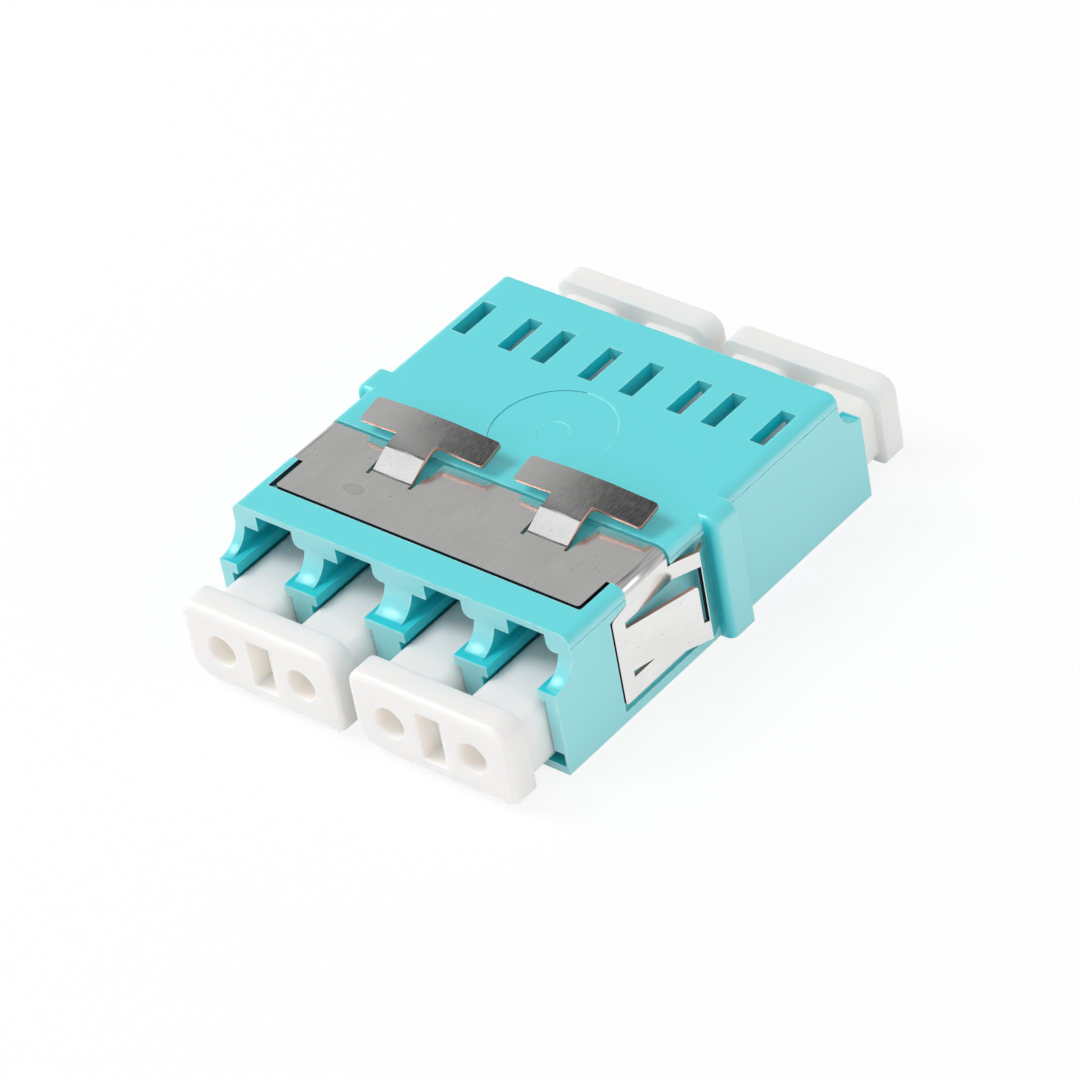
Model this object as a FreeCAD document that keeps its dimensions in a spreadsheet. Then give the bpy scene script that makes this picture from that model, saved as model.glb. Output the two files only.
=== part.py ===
"""Four-port fibre adapter with its panel clip and dust plugs, in millimetres.

Frame: x = 0 is the middle with +X to the right, y = 0 is the middle of the
housing with -Y at the clip end, z = 0 is the bottom with +Z up.
"""
import FreeCAD, Part
import math
import os
import Sketcher

# Driving sizes: alias, value in millimetres, what it is
SIZES = [
    ("housing_half_width", 12.9, "half width of the housing"),
    ("housing_half_length", 14.5, "half length at the bottom"),
    ("cut_margin", 1.0, "how far a cut runs past the solid"),
    ("housing_height", 8.85, "bottom to top"),
    ("ledge_length", 1.85, "y distance from the top face's end to the bottom's"),
    ("ledge_height", 5.87, "height of the ledge at both ends"),
    ("ledge_curve", 1.75, "radius of the hollow above the ledge"),
    ("top_edge_round", 0.7, "round of the long top edges"),
    ("seam_height", 7.99, "height of the moulding seam on the sides"),
    ("seam_width", 0.1, "width of the seam groove"),
    ("seam_depth", 0.06, "depth of the seam groove"),
    ("flange_reach", 0.95, "reach of the flange ears beyond the housing"),
    ("flange_front", -0.35, "y of the flange front"),
    ("flange_rear", 1.7, "y of the flange rear"),
    ("flange_top_round", 0.8, "round of the ears' top corners"),
    ("flange_front_round", 0.5, "round of the ears' front edges"),
    ("port_inner", 3.41, "x of the two inner ports"),
    ("port_pitch", 6.25, "spacing of the two ports of a pair"),
    ("port_half_width", 2.375, "half width of a port"),
    ("port_floor", 0.57, "height of the port floor"),
    ("rail_low", 5.18, "underside of the latch rails"),
    ("rail_high", 5.89, "top of the latch rails"),
    ("rail_half_gap", 1.88, "half gap between the latch rails"),
    ("rail_round", 0.25, "corner cut under a right rail's tip"),
    ("bay_left", 2.5, "left reach of a port above its rails"),
    ("bay_right", 2.25, "right reach of a port above its rails"),
    ("ear_height", 7.32, "underside of the ears beside the key slot"),
    ("ear_round", 0.4, "corner cut of a right ear"),
    ("key_half_width", 1.4, "half width of the key slot"),
    ("key_ceiling", 7.98, "ceiling of the key slot"),
    ("mouth_ceiling", 8.41, "ceiling of the key slot at its mouth"),
    ("mouth_depth", 2.6, "y length of the raised ceiling"),
    ("port_stop", 1.0, "distance of the port ends from the middle"),
    ("relief_wall", 0.15, "wall left by the relief in the outer port corners"),
    ("relief_height", 1.52, "top of that relief"),
    ("relief_depth", 3.0, "length of that relief"),
    ("window_inner", 1.277, "inner edge of a latch window from the port middle"),
    ("window_near", 6.75, "near end of the latch windows"),
    ("window_far", 9.95, "far end of the latch windows"),
    ("recess_depth", 0.3, "depth of the clip recess"),
    ("recess_side_rib", 0.95, "rib beside the recess in the top"),
    ("recess_front", -10.35, "front end of the recess in the top"),
    ("recess_rear", -3.5, "rear end of the recess in the top"),
    ("wrap_front", -7.55, "front end of the recess over the top edge"),
    ("side_recess_front", -9.15, "front end of the recess in the sides"),
    ("side_recess_low", 0.67, "lower end of the recess in the sides"),
    ("side_recess_high", 7.65, "upper end of the recess in the sides"),
    ("side_recess_lead", 7.32, "height of its front upper corner"),
    ("wrap_round", 0.4, "round of the recess over the top edge"),
    ("disc_middle", 1.85, "y of the shallow disc in the top"),
    ("disc_radius", 3.95, "radius of the shallow disc"),
    ("disc_depth", 0.05, "depth of the shallow disc"),
    ("gate_radius", 1.0, "radius of the gate mark in the disc"),
    ("gate_depth", 0.04, "depth of the gate mark"),
    ("cover_side_wall", 0.6, "housing wall beside the bottom cover"),
    ("cover_end_wall", 4.1, "housing floor in front of the bottom cover"),
    ("cover_gap", 0.05, "clearance round the bottom cover"),
    ("holder_top", 6.08, "top of the sleeve holder plates"),
    ("holder_side_wall", 0.7, "housing wall beside the holder plates"),
    ("holder_gap", 0.02, "clearance round the holder plates"),
    ("bore_height", 2.85, "height of the sleeve axes"),
    ("barrel_radius", 1.3, "outer radius of a sleeve barrel"),
    ("barrel_end", 4.4, "distance of the barrel ends from the middle"),
    ("barrel_mouth_radius", 0.68, "radius of the barrel mouth"),
    ("sleeve_radius", 0.8, "outer radius of an alignment sleeve"),
    ("sleeve_bore", 0.62, "bore radius of an alignment sleeve"),
    ("sleeve_half_length", 3.4, "half length of an alignment sleeve"),
    ("sleeve_gap", 0.05, "clearance round an alignment sleeve"),
    ("sleeve_slit", 0.2, "width of the slit in a sleeve"),
    ("sheet_thick", 0.25, "thickness of the clip sheet"),
    ("clip_front", -10.1, "front edge of the clip's top"),
    ("clip_rear", -3.7, "rear edge of the clip's top"),
    ("clip_gap", 0.05, "clearance beside the clip's front part"),
    ("clip_side_front", -8.95, "front edge of the side plates"),
    ("clip_side_low", 1.05, "lower edge of the side plates"),
    ("clip_side_lead", 7.22, "height of the side plate's front corner"),
    ("clip_side_high", 7.55, "upper edge of the side plates' rear part"),
    ("bend_inner", 0.4, "inner radius of the bend over the side"),
    ("flare_start", -3.4, "y where the side frame bends out"),
    ("flare_crest", -1.7, "y of the crest of the side frame"),
    ("flare_crest_rise", 0.75, "rise of the side frame at its crest"),
    ("flare_end", -0.8, "y of the rear end of the side frame"),
    ("flare_end_rise", 0.35, "rise of the side frame at its rear end"),
    ("side_window_front", -7.9, "front end of the opening in the side"),
    ("side_window_rear", -1.75, "rear end of the opening in the side"),
    ("side_window_low", 2.42, "lower edge of the opening in the side"),
    ("side_window_high", 6.48, "upper edge of the opening in the side"),
    ("leaf_low", 2.75, "lower edge of the spring leaf"),
    ("leaf_high", 6.03, "upper edge of the spring leaf"),
    ("leaf_tip", -2.85, "y of the leaf's free end"),
    ("leaf_overhang", 0.3, "reach of the leaf's free end beyond the flange"),
    ("tab_bend", 0.4, "inner radius of a tab's bends"),
    ("tab_left", -5.8, "x of the left tab's stem"),
    ("tab_right", 6.1, "x of the right tab's stem"),
    ("stem_half_width", 1.5, "half width of a tab stem"),
    ("slot_end", -6.55, "front end of the slots beside a stem"),
    ("slot_end_gap", 0.26, "slot width beside a stem at its front end"),
    ("slot_rear_gap", 0.62, "slot width beside a stem at its rear end"),
    ("ramp_start", -6.2, "y where a tab bends up"),
    ("ramp_end", -4.7, "y where a tab's head begins"),
    ("ramp_height", 9.66, "height where a tab's head begins"),
    ("head_rear", -1.7, "y of a tab's rear edge"),
    ("head_height", 10.32, "height of a tab's rear edge"),
    ("wing_front", -3.6, "y of the front edge of a tab's wings"),
    ("wing_left", 3.05, "width of a tab's left wing"),
    ("wing_right", 3.5, "width of a tab's right wing"),
    ("plug_half_width", 5.95, "half width of a dust plug's head"),
    ("plug_low", 0.46, "lower edge of the head"),
    ("plug_high", 6.0, "upper edge of the head"),
    ("plug_near", 16.8, "distance of the head's inner face"),
    ("plug_far", 18.7, "distance of the head's outer face"),
    ("plug_round_low_right", 0.5, "round of the head's lower right corner"),
    ("plug_round_top_right", 1.25, "round of the head's upper right corner"),
    ("plug_round_top_left", 1.0, "round of the head's upper left corner"),
    ("plug_round_low_left", 1.65, "round of the head's lower left corner"),
    ("plug_edge_bevel", 0.12, "bevel of the head's outer edge"),
    ("hole_radius", 1.07, "radius of the holes in the head"),
    ("hole_height", 3.07, "height of the holes in the head"),
    ("hole_depth", 1.5, "depth of the holes in the head"),
    ("grip_half_width", 0.9, "half width of the head's middle slot"),
    ("grip_half_height", 1.74, "half height of the head's middle slot"),
    ("prong_gap", 0.1, "clearance between a prong and its port"),
    ("prong_end", 6.0, "distance of the prong ends from the middle"),
    ("prong_round", 0.9, "round of a prong's long edges"),
    ("prong_lead", 0.35, "chamfer of a prong's end"),
]

# Sign of each origin plane's normal along its own axis
NORMAL_SIGN = {"XY_Plane": 1, "XZ_Plane": -1, "YZ_Plane": 1}
# Place in a point (x, y, z) of the plane's two directions
PLANE_AXES = {"XY_Plane": (0, 1), "XZ_Plane": (0, 2), "YZ_Plane": (1, 2)}
NEAR = 1e-3
# Fall of a tab's wing for each millimetre outwards
WING_DROOP = 0.055


class Size:
    """A number together with the sheet expression that gives it."""

    def __init__(self, value, text):
        self.value = value
        self.text = text

    @staticmethod
    def of(item):
        """Wrap a plain number."""
        if isinstance(item, Size):
            return item
        return Size(float(item), repr(float(item)))

    def __add__(self, other):
        other = Size.of(other)
        return Size(self.value + other.value, f"({self.text} + {other.text})")

    def __sub__(self, other):
        other = Size.of(other)
        return Size(self.value - other.value, f"({self.text} - {other.text})")

    def __mul__(self, factor):
        factor = Size.of(factor)
        return Size(self.value * factor.value, f"({self.text} * {factor.text})")

    def __truediv__(self, other):
        other = Size.of(other)
        return Size(self.value / other.value, f"({self.text} / {other.text})")

    def __neg__(self):
        return Size(-self.value, f"(0 - {self.text})")

    __rmul__ = __mul__


class Sizes:
    """The sheet's sizes, read as attributes by their alias."""

    def __init__(self, document):
        self.sheet = document.addObject("Spreadsheet::Sheet", "Dims")
        for row, (alias, value, note) in enumerate(SIZES, start=1):
            self.sheet.set(f"A{row}", note)
            self.sheet.set(f"B{row}", str(value))
            self.sheet.setAlias(f"B{row}", alias)
            setattr(self, alias, Size(float(value), f"Dims.{alias}"))
        self.top_half_length = self.housing_half_length - self.ledge_length
        self.flange_half_width = self.housing_half_width + self.flange_reach
        self.recess_floor = self.housing_height - self.recess_depth
        self.recess_wall = self.housing_half_width - self.recess_depth
        self.recess_half_width = self.housing_half_width - self.recess_side_rib
        self.clip_half_width = self.recess_half_width - self.clip_gap
        self.clip_top = self.recess_floor + self.sheet_thick
        self.clip_side = self.recess_wall + self.sheet_thick
        self.cover_half_width = self.housing_half_width - self.cover_side_wall
        self.cover_half_length = self.housing_half_length - self.cover_end_wall
        self.holder_half_width = self.housing_half_width - self.holder_side_wall
        self.port_outer = self.port_inner + self.port_pitch


def origin_plane(body, role):
    """Return one of the body's own origin planes."""
    return next(item for item in body.Origin.OriginFeatures if item.Role == role)


def new_sketch(body, name, role, level):
    """Add a sketch parallel to an origin plane at the given level."""
    sketch = body.newObject("Sketcher::SketchObject", name)
    sketch.AttachmentSupport = [(origin_plane(body, role), "")]
    sketch.MapMode = "FlatFace"
    offset = Size.of(level) * NORMAL_SIGN[role]
    sketch.setExpression(".AttachmentOffset.Base.z", offset.text)
    return sketch


def flat_point(place):
    """Return a sketch point at a place given by two sizes."""
    return FreeCAD.Vector(place[0].value, place[1].value, 0)


def point_rules(geometry, point, place):
    """Return the two constraints that fix one point from the origin."""
    return [Sketcher.Constraint(kind, -1, 1, geometry, point, size.value)
            for kind, size in zip(("DistanceX", "DistanceY"), place)]


def bind_rules(sketch, first, sizes):
    """Bind the constraints from the given one on to their expressions."""
    for index, size in enumerate(sizes, start=first):
        sketch.setExpression(f"Constraints[{index}]", size.text)


def draw_outlines(sketch, outlines):
    """Draw closed outlines through their corners and bind each corner."""
    lines, joins, fixes, sizes = [], [], [], []
    for corners in outlines:
        places = [(Size.of(u), Size.of(v)) for u, v in corners]
        first = len(lines)
        count = len(places)
        for index, place in enumerate(places):
            following = (index + 1) % count
            end = places[following]
            lines.append(Part.LineSegment(flat_point(place), flat_point(end)))
            joins.append(Sketcher.Constraint(
                "Coincident", first + index, 2, first + following, 1))
            fixes.extend(point_rules(first + index, 1, place))
            sizes.extend(place)
    sketch.addGeometry(lines, False)
    sketch.addConstraint(joins + fixes)
    bind_rules(sketch, len(joins), sizes)


def draw_rounded(sketch, box, radii):
    """Draw a rectangle with rounded corners and bind it.

    The box is (left, right, bottom, top); the radii start at the bottom
    right corner and go round to the bottom left one.
    """
    left, right, bottom, top = box
    bottom_right, top_right, top_left, bottom_left = radii
    ends = [
        (left + bottom_left, bottom), (right - bottom_right, bottom),
        (right, bottom + bottom_right), (right, top - top_right),
        (right - top_right, top), (left + top_left, top),
        (left, top - top_left), (left, bottom + bottom_left)]
    centres = [
        (right - bottom_right, bottom + bottom_right),
        (right - top_right, top - top_right),
        (left + top_left, top - top_left),
        (left + bottom_left, bottom + bottom_left)]
    shapes = []
    for side in range(4):
        first, second = ends[2 * side], ends[2 * side + 1]
        shapes.append(Part.LineSegment(flat_point(first), flat_point(second)))
        circle = Part.Circle(flat_point(centres[side]), FreeCAD.Vector(0, 0, 1),
                             radii[side].value)
        start = (side - 1) * math.pi / 2
        shapes.append(Part.ArcOfCircle(circle, start, start + math.pi / 2))
    sketch.addGeometry(shapes, False)
    rules = [Sketcher.Constraint("Coincident", index, 2, (index + 1) % 8, 1)
             for index in range(8)]
    for side in range(4):
        rules.extend(point_rules(2 * side, 1, ends[2 * side]))
        rules.extend(point_rules(2 * side, 2, ends[2 * side + 1]))
    for side in range(4):
        rules.append(Sketcher.Constraint("Radius", 2 * side + 1, radii[side].value))
    sketch.addConstraint(rules)
    sizes = [size for place in ends for size in place]
    bind_rules(sketch, 8, [*sizes, *radii])


def draw_circle(sketch, centre, radius):
    """Draw a circle and bind its centre and radius."""
    place = [Size.of(item) for item in centre]
    curve = Part.Circle(flat_point(place), FreeCAD.Vector(0, 0, 1), radius.value)
    index = sketch.addGeometry(curve, False)
    rules = point_rules(index, 3, place)
    rules.append(Sketcher.Constraint("Radius", index, radius.value))
    sketch.addConstraint(rules)
    bind_rules(sketch, 0, [*place, radius])


def extrude(body, sketch, role, low, high, cut):
    """Pad or pocket a sketch from the level low up to the level high."""
    kind = "PartDesign::Pocket" if cut else "PartDesign::Pad"
    feature = body.newObject(kind, f"{sketch.Name}_{'Cut' if cut else 'Pad'}")
    feature.Profile = sketch
    feature.setExpression("Length", (Size.of(high) - Size.of(low)).text)
    feature.Reversed = (NORMAL_SIGN[role] < 0) != cut
    return feature


def slab(body, name, role, span, *outlines, cut=False):
    """Add or cut a prism of each outline between two levels."""
    sketch = new_sketch(body, name, role, span[0])
    draw_outlines(sketch, outlines)
    return extrude(body, sketch, role, span[0], span[1], cut)


def rounded_slab(body, name, role, span, box, radii):
    """Add a prism with a rounded rectangle as its outline."""
    sketch = new_sketch(body, name, role, span[0])
    draw_rounded(sketch, box, radii)
    return extrude(body, sketch, role, span[0], span[1], False)


def rod(body, name, role, span, centre, radius, cut=False):
    """Add or cut a cylinder between two levels."""
    sketch = new_sketch(body, name, role, span[0])
    draw_circle(sketch, centre, radius)
    return extrude(body, sketch, role, span[0], span[1], cut)


def rectangle(low_u, high_u, low_v, high_v):
    """Return the four corners of a rectangle."""
    return [(low_u, low_v), (high_u, low_v), (high_u, high_v), (low_u, high_v)]


def edge_names(shape, role, places):
    """Name the edges that stand on a plane at one of the places."""
    first, second = PLANE_AXES[role]
    wanted = [(Size.of(u).value, Size.of(v).value) for u, v in places]
    names = []
    for number, edge in enumerate(shape.Edges, start=1):
        ends = [(v.Point[first], v.Point[second]) for v in edge.Vertexes]
        standing = any(all(math.dist(end, place) < NEAR for end in ends)
                       for place in wanted)
        if standing and len(ends) == 2:
            names.append(f"Edge{number}")
    return names


def dress(body, kind, name, names, size):
    """Add a fillet or chamfer to the named edges of the body's tip."""
    base = body.Tip
    feature = body.newObject(f"PartDesign::{kind}", name)
    feature.Base = (base, names)
    feature.setExpression("Radius" if kind == "Fillet" else "Size", size.text)
    return feature


def round_edges(body, name, role, places, radius):
    """Round the edges that stand on a plane at the given places."""
    body.Document.recompute()
    names = edge_names(body.Tip.Shape, role, places)
    return dress(body, "Fillet", name, names, radius)


def new_body(document, label):
    """Add a body for one sub-part."""
    body = document.addObject("PartDesign::Body", label)
    body.Label = label
    return body


def both(size):
    """Return the size and its mirror image."""
    return [-size, size]


def port_middles(d):
    """Return the x of the four ports from left to right."""
    return [-d.port_outer, -d.port_inner, d.port_inner, d.port_outer]


def end_span(low, high, side):
    """Return a y span at the front (-1) or rear (1) end."""
    return (low, high) if side > 0 else (-high, -low)


# Housing

def housing_block(body, d):
    """Build the stepped block with its rounded top edges."""
    low_y = d.housing_half_length
    top_y = d.top_half_length
    corners = [
        (-low_y, 0), (low_y, 0), (low_y, d.ledge_height), (top_y, d.ledge_height),
        (top_y, d.housing_height), (-top_y, d.housing_height),
        (-top_y, d.ledge_height), (-low_y, d.ledge_height)]
    slab(body, "Block", "YZ_Plane", both(d.housing_half_width), corners)
    hollow = [(y, d.ledge_height) for y in both(top_y)]
    round_edges(body, "LedgeHollow", "YZ_Plane", hollow, d.ledge_curve)
    edges = [(x, d.housing_height) for x in both(d.housing_half_width)]
    round_edges(body, "TopEdges", "XZ_Plane", edges, d.top_edge_round)


def housing_flange(body, d):
    """Add the two ears that stop the housing at the panel."""
    span = (d.flange_front, d.flange_rear)
    wide = d.flange_half_width
    corners = rectangle(-wide, wide, 0, d.housing_height)
    slab(body, "Flange", "XZ_Plane", span, corners)
    tops = [(x, d.housing_height) for x in both(wide)]
    round_edges(body, "FlangeTops", "XZ_Plane", tops, d.flange_top_round)
    fronts = [(x, d.flange_front) for x in both(wide)]
    round_edges(body, "FlangeFronts", "XY_Plane", fronts, d.flange_front_round)


def housing_recess(body, d):
    """Cut the recess that takes the panel clip."""
    floor = d.recess_floor
    over = d.housing_height + d.cut_margin
    wall = d.recess_wall
    outside = d.housing_half_width + d.cut_margin / 2
    flat = d.recess_half_width
    span = (floor, over)
    corners = rectangle(-flat, flat, d.recess_front, d.recess_rear)
    slab(body, "TopRecess", "XY_Plane", span, corners, cut=True)
    side = [
        (d.side_recess_front, d.side_recess_low), (d.flange_front, d.side_recess_low),
        (d.flange_front, d.side_recess_high), (d.wrap_front, d.side_recess_high),
        (d.side_recess_front, d.side_recess_lead)]
    slab(body, "RightRecess", "YZ_Plane", (wall, outside), side, cut=True)
    slab(body, "LeftRecess", "YZ_Plane", (-outside, -wall), side, cut=True)
    span = (d.wrap_front, d.recess_rear)
    low = d.side_recess_lead
    near = flat - d.wrap_round
    for name, sign in (("RightWrap", 1), ("LeftWrap", -1)):
        corners = [
            (sign * wall, low), (sign * outside, low), (sign * outside, over),
            (sign * near, over), (sign * near, floor), (sign * wall, floor)]
        slab(body, name, "XZ_Plane", span, corners, cut=True)
        round_edges(body, f"{name}Round", "XZ_Plane",
                    [(sign * wall, floor)], d.wrap_round)


def port_outline(d, middle):
    """Return the outline of a port with its latch rails and key slot."""
    wide = d.port_half_width
    rail = d.rail_half_gap
    key = d.key_half_width
    cut = d.ear_round
    tip = d.rail_round
    right = [
        (wide, d.port_floor), (wide, d.rail_low), (rail + tip, d.rail_low),
        (rail + tip * 0.3, d.rail_low + tip * 0.3), (rail, d.rail_low + tip),
        (rail, d.rail_high), (d.bay_right, d.rail_high),
        (d.bay_right, d.ear_height), (key + cut, d.ear_height),
        (key + cut * 0.3, d.ear_height + cut * 0.3), (key, d.ear_height + cut),
        (key, d.key_ceiling)]
    left = [
        (wide, d.port_floor), (wide, d.rail_low), (rail, d.rail_low),
        (rail, d.rail_high), (d.bay_left, d.rail_high), (d.bay_left, d.ear_height),
        (key, d.ear_height), (key, d.key_ceiling)]
    corners = [(middle + x, z) for x, z in right]
    return corners + [(middle - x, z) for x, z in reversed(left)]


def window_outlines(d, middle, side):
    """Return the outlines of the two latch windows of one port."""
    inner = d.window_inner
    outer = d.port_half_width
    y_span = end_span(d.window_near, d.window_far, side)
    return [rectangle(middle - outer, middle - inner, *y_span),
            rectangle(middle + inner, middle + outer, *y_span)]


def housing_end(body, d, name, side, top):
    """Cut the four ports of one end with all that belongs to them."""
    middles = port_middles(d)
    over = d.housing_half_length + d.cut_margin
    ports = [port_outline(d, middle) for middle in middles]
    span = end_span(d.port_stop, over, side)
    slab(body, f"{name}Ports", "XZ_Plane", span, *ports, cut=True)
    key = d.key_half_width
    low = d.ear_height + d.ear_round
    keys = [rectangle(middle - key, middle + key, low, d.mouth_ceiling)
            for middle in middles]
    span = end_span(d.top_half_length - d.mouth_depth, over, side)
    slab(body, f"{name}Keys", "XZ_Plane", span, *keys, cut=True)
    inner = d.port_outer + d.rail_half_gap
    outer = d.housing_half_width - d.relief_wall
    reliefs = [rectangle(*x_span, d.port_floor, d.relief_height)
               for x_span in ((inner, outer), (-outer, -inner))]
    span = end_span(d.housing_half_length - d.relief_depth, over, side)
    slab(body, f"{name}Reliefs", "XZ_Plane", span, *reliefs, cut=True)
    windows = [outline for middle in middles
               for outline in window_outlines(d, middle, side)]
    low = d.ear_height - d.recess_depth
    slab(body, f"{name}Windows", "XY_Plane", (low, top), *windows, cut=True)


def housing_seams(body, d):
    """Cut the moulding seams along both sides."""
    inner = d.housing_half_width - d.seam_depth
    outer = d.housing_half_width + d.cut_margin / 2
    low = d.seam_height - d.seam_width / 2
    high = d.seam_height + d.seam_width / 2
    seams = [rectangle(inner, outer, low, high), rectangle(-outer, -inner, low, high)]
    over = d.top_half_length + d.cut_margin
    slab(body, "FrontSeams", "XZ_Plane", (-over, d.flange_front), *seams, cut=True)
    slab(body, "RearSeams", "XZ_Plane", (d.flange_rear, over), *seams, cut=True)


def housing_disc(body, d):
    """Cut the shallow disc and its gate mark into the top."""
    top = d.housing_height
    floor = top - d.disc_depth
    over = top + d.cut_margin
    centre = (0, d.disc_middle)
    rod(body, "Disc", "XY_Plane", (floor, over), centre, d.disc_radius, cut=True)
    span = (floor - d.gate_depth, over)
    rod(body, "Gate", "XY_Plane", span, centre, d.gate_radius, cut=True)


def housing_inside(body, d):
    """Cut the slot for the sleeve holders and the opening for the cover."""
    wide = d.holder_half_width + d.holder_gap
    deep = d.port_stop
    span = (0, d.holder_top + d.holder_gap)
    corners = rectangle(-wide, wide, -deep, deep)
    slab(body, "HolderSlot", "XY_Plane", span, corners, cut=True)
    wide = d.cover_half_width + d.cover_gap
    deep = d.cover_half_length + d.cover_gap
    corners = rectangle(-wide, wide, -deep, deep)
    span = (-d.cut_margin, d.port_floor)
    slab(body, "CoverOpening", "XY_Plane", span, corners, cut=True)


def make_housing(document, d):
    """Build the housing."""
    body = new_body(document, "housing")
    housing_block(body, d)
    housing_flange(body, d)
    housing_recess(body, d)
    housing_seams(body, d)
    housing_disc(body, d)
    housing_end(body, d, "Front", -1, d.recess_floor)
    housing_end(body, d, "Rear", 1, d.housing_height + d.cut_margin)
    housing_inside(body, d)
    return body


def make_cover(document, d):
    """Build the plate welded into the bottom of the housing."""
    body = new_body(document, "bottom_cover")
    wide = d.cover_half_width
    deep = d.cover_half_length
    corners = rectangle(-wide, wide, -deep, deep)
    slab(body, "Plate", "XY_Plane", (0, d.port_floor), corners)
    return body


# Sleeve holders and alignment sleeves

def make_holder(document, d, label, side):
    """Build the plate with four hollow barrels for one end."""
    body = new_body(document, label)
    wide = d.holder_half_width
    thick = d.port_stop - d.holder_gap
    corners = rectangle(-wide, wide, d.port_floor, d.holder_top)
    slab(body, "Plate", "XZ_Plane", end_span(Size.of(0), thick, side), corners)
    bore = d.sleeve_radius + d.sleeve_gap
    seat = end_span(Size.of(0), d.sleeve_half_length + d.sleeve_gap, side)
    full = end_span(Size.of(0), d.barrel_end, side)
    over = end_span(-d.cut_margin, d.barrel_end + d.cut_margin, side)
    for number, middle in enumerate(port_middles(d), start=1):
        centre = (middle, d.bore_height)
        rod(body, f"Barrel{number}", "XZ_Plane", full, centre, d.barrel_radius)
        rod(body, f"Seat{number}", "XZ_Plane", seat, centre, bore, cut=True)
        rod(body, f"Mouth{number}", "XZ_Plane", over, centre,
            d.barrel_mouth_radius, cut=True)
    return body


def make_sleeve(document, d, label, middle):
    """Build one split alignment sleeve."""
    body = new_body(document, label)
    centre = (middle, d.bore_height)
    full = both(d.sleeve_half_length)
    rod(body, "Tube", "XZ_Plane", full, centre, d.sleeve_radius)
    over = both(d.sleeve_half_length + d.cut_margin)
    rod(body, "Bore", "XZ_Plane", over, centre, d.sleeve_bore, cut=True)
    half = d.sleeve_slit / 2
    top = d.bore_height + d.sleeve_radius + d.cut_margin
    corners = rectangle(middle - half, middle + half, d.bore_height, top)
    slab(body, "Slit", "XZ_Plane", over, corners, cut=True)
    return body


# Panel clip

def clip_saddle(body, d):
    """Build the sheet bent over the top and both sides."""
    inner, outer = d.recess_wall, d.clip_side
    floor, top = d.recess_floor, d.clip_top
    low = d.clip_side_low
    corners = [
        (-outer, low), (-inner, low), (-inner, floor), (inner, floor),
        (inner, low), (outer, low), (outer, top), (-outer, top)]
    slab(body, "Saddle", "XZ_Plane", (d.clip_front, d.flare_start), corners)
    inside = [(x, floor) for x in both(inner)]
    round_edges(body, "InnerBends", "XZ_Plane", inside, d.bend_inner)
    outside = [(x, top) for x in both(outer)]
    round_edges(body, "OuterBends", "XZ_Plane", outside, d.bend_inner + d.sheet_thick)


def clip_trim(body, d):
    """Cut the front corners and the rear edge of the saddle."""
    front = d.clip_front - d.cut_margin
    low = d.clip_side_low - d.cut_margin
    top = d.housing_height + d.cut_margin
    corners = [
        (front, low), (d.clip_side_front, low), (d.clip_side_front, d.clip_side_lead),
        (d.wrap_front, d.clip_side_high), (d.wrap_front, top), (front, top)]
    wide = d.flange_half_width
    narrow = d.clip_half_width
    slab(body, "RightFront", "YZ_Plane", (narrow, wide), corners, cut=True)
    slab(body, "LeftFront", "YZ_Plane", (-wide, -narrow), corners, cut=True)
    corners = rectangle(d.clip_rear, d.flare_start + d.cut_margin,
                        d.clip_side_high, top)
    slab(body, "Rear", "YZ_Plane", both(wide), corners, cut=True)


def clip_side(body, d, name, sign):
    """Add the flared frame and the spring leaf of one side."""
    thick = d.sheet_thick
    inner, outer = d.recess_wall, d.clip_side
    crest = outer + d.flare_crest_rise
    end = outer + d.flare_end_rise
    outline = [
        (outer, d.flare_start - thick), (outer, d.flare_start),
        (crest, d.flare_crest), (end, d.flare_end),
        (end - thick * 0.914, d.flare_end - thick * 0.406),
        (crest - thick * 1.094, d.flare_crest),
        (inner, d.flare_start + thick * 0.21), (inner, d.flare_start - thick)]
    corners = [(sign * x, y) for x, y in outline]
    span = (d.clip_side_low, d.clip_side_high)
    slab(body, f"{name}Frame", "XY_Plane", span, corners)
    corners = rectangle(d.side_window_front, d.side_window_rear,
                        d.side_window_low, d.side_window_high)
    reach = end_span(inner - thick, crest + thick, sign)
    slab(body, f"{name}Window", "YZ_Plane", reach, corners, cut=True)
    tip = d.flange_half_width + d.leaf_overhang
    root = d.side_window_front
    outline = [
        (inner, root - thick), (outer, root - thick), (outer, root),
        (tip, d.leaf_tip), (tip - thick * 0.956, d.leaf_tip + thick * 0.293),
        (inner, root + thick * 0.15)]
    corners = [(sign * x, y) for x, y in outline]
    slab(body, f"{name}Leaf", "XY_Plane", (d.leaf_low, d.leaf_high), corners)


def clip_tab_slot(body, d, name, middle):
    """Cut the slots beside one tab's stem."""
    near = d.stem_half_width + d.slot_end_gap
    far = d.stem_half_width + d.slot_rear_gap
    rear = d.clip_rear + d.cut_margin
    corners = [(middle - near, d.slot_end), (middle + near, d.slot_end),
               (middle + far, rear), (middle - far, rear)]
    span = (d.recess_floor - d.cut_margin, d.clip_top + d.cut_margin)
    slab(body, f"{name}Slot", "XY_Plane", span, corners, cut=True)


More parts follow.
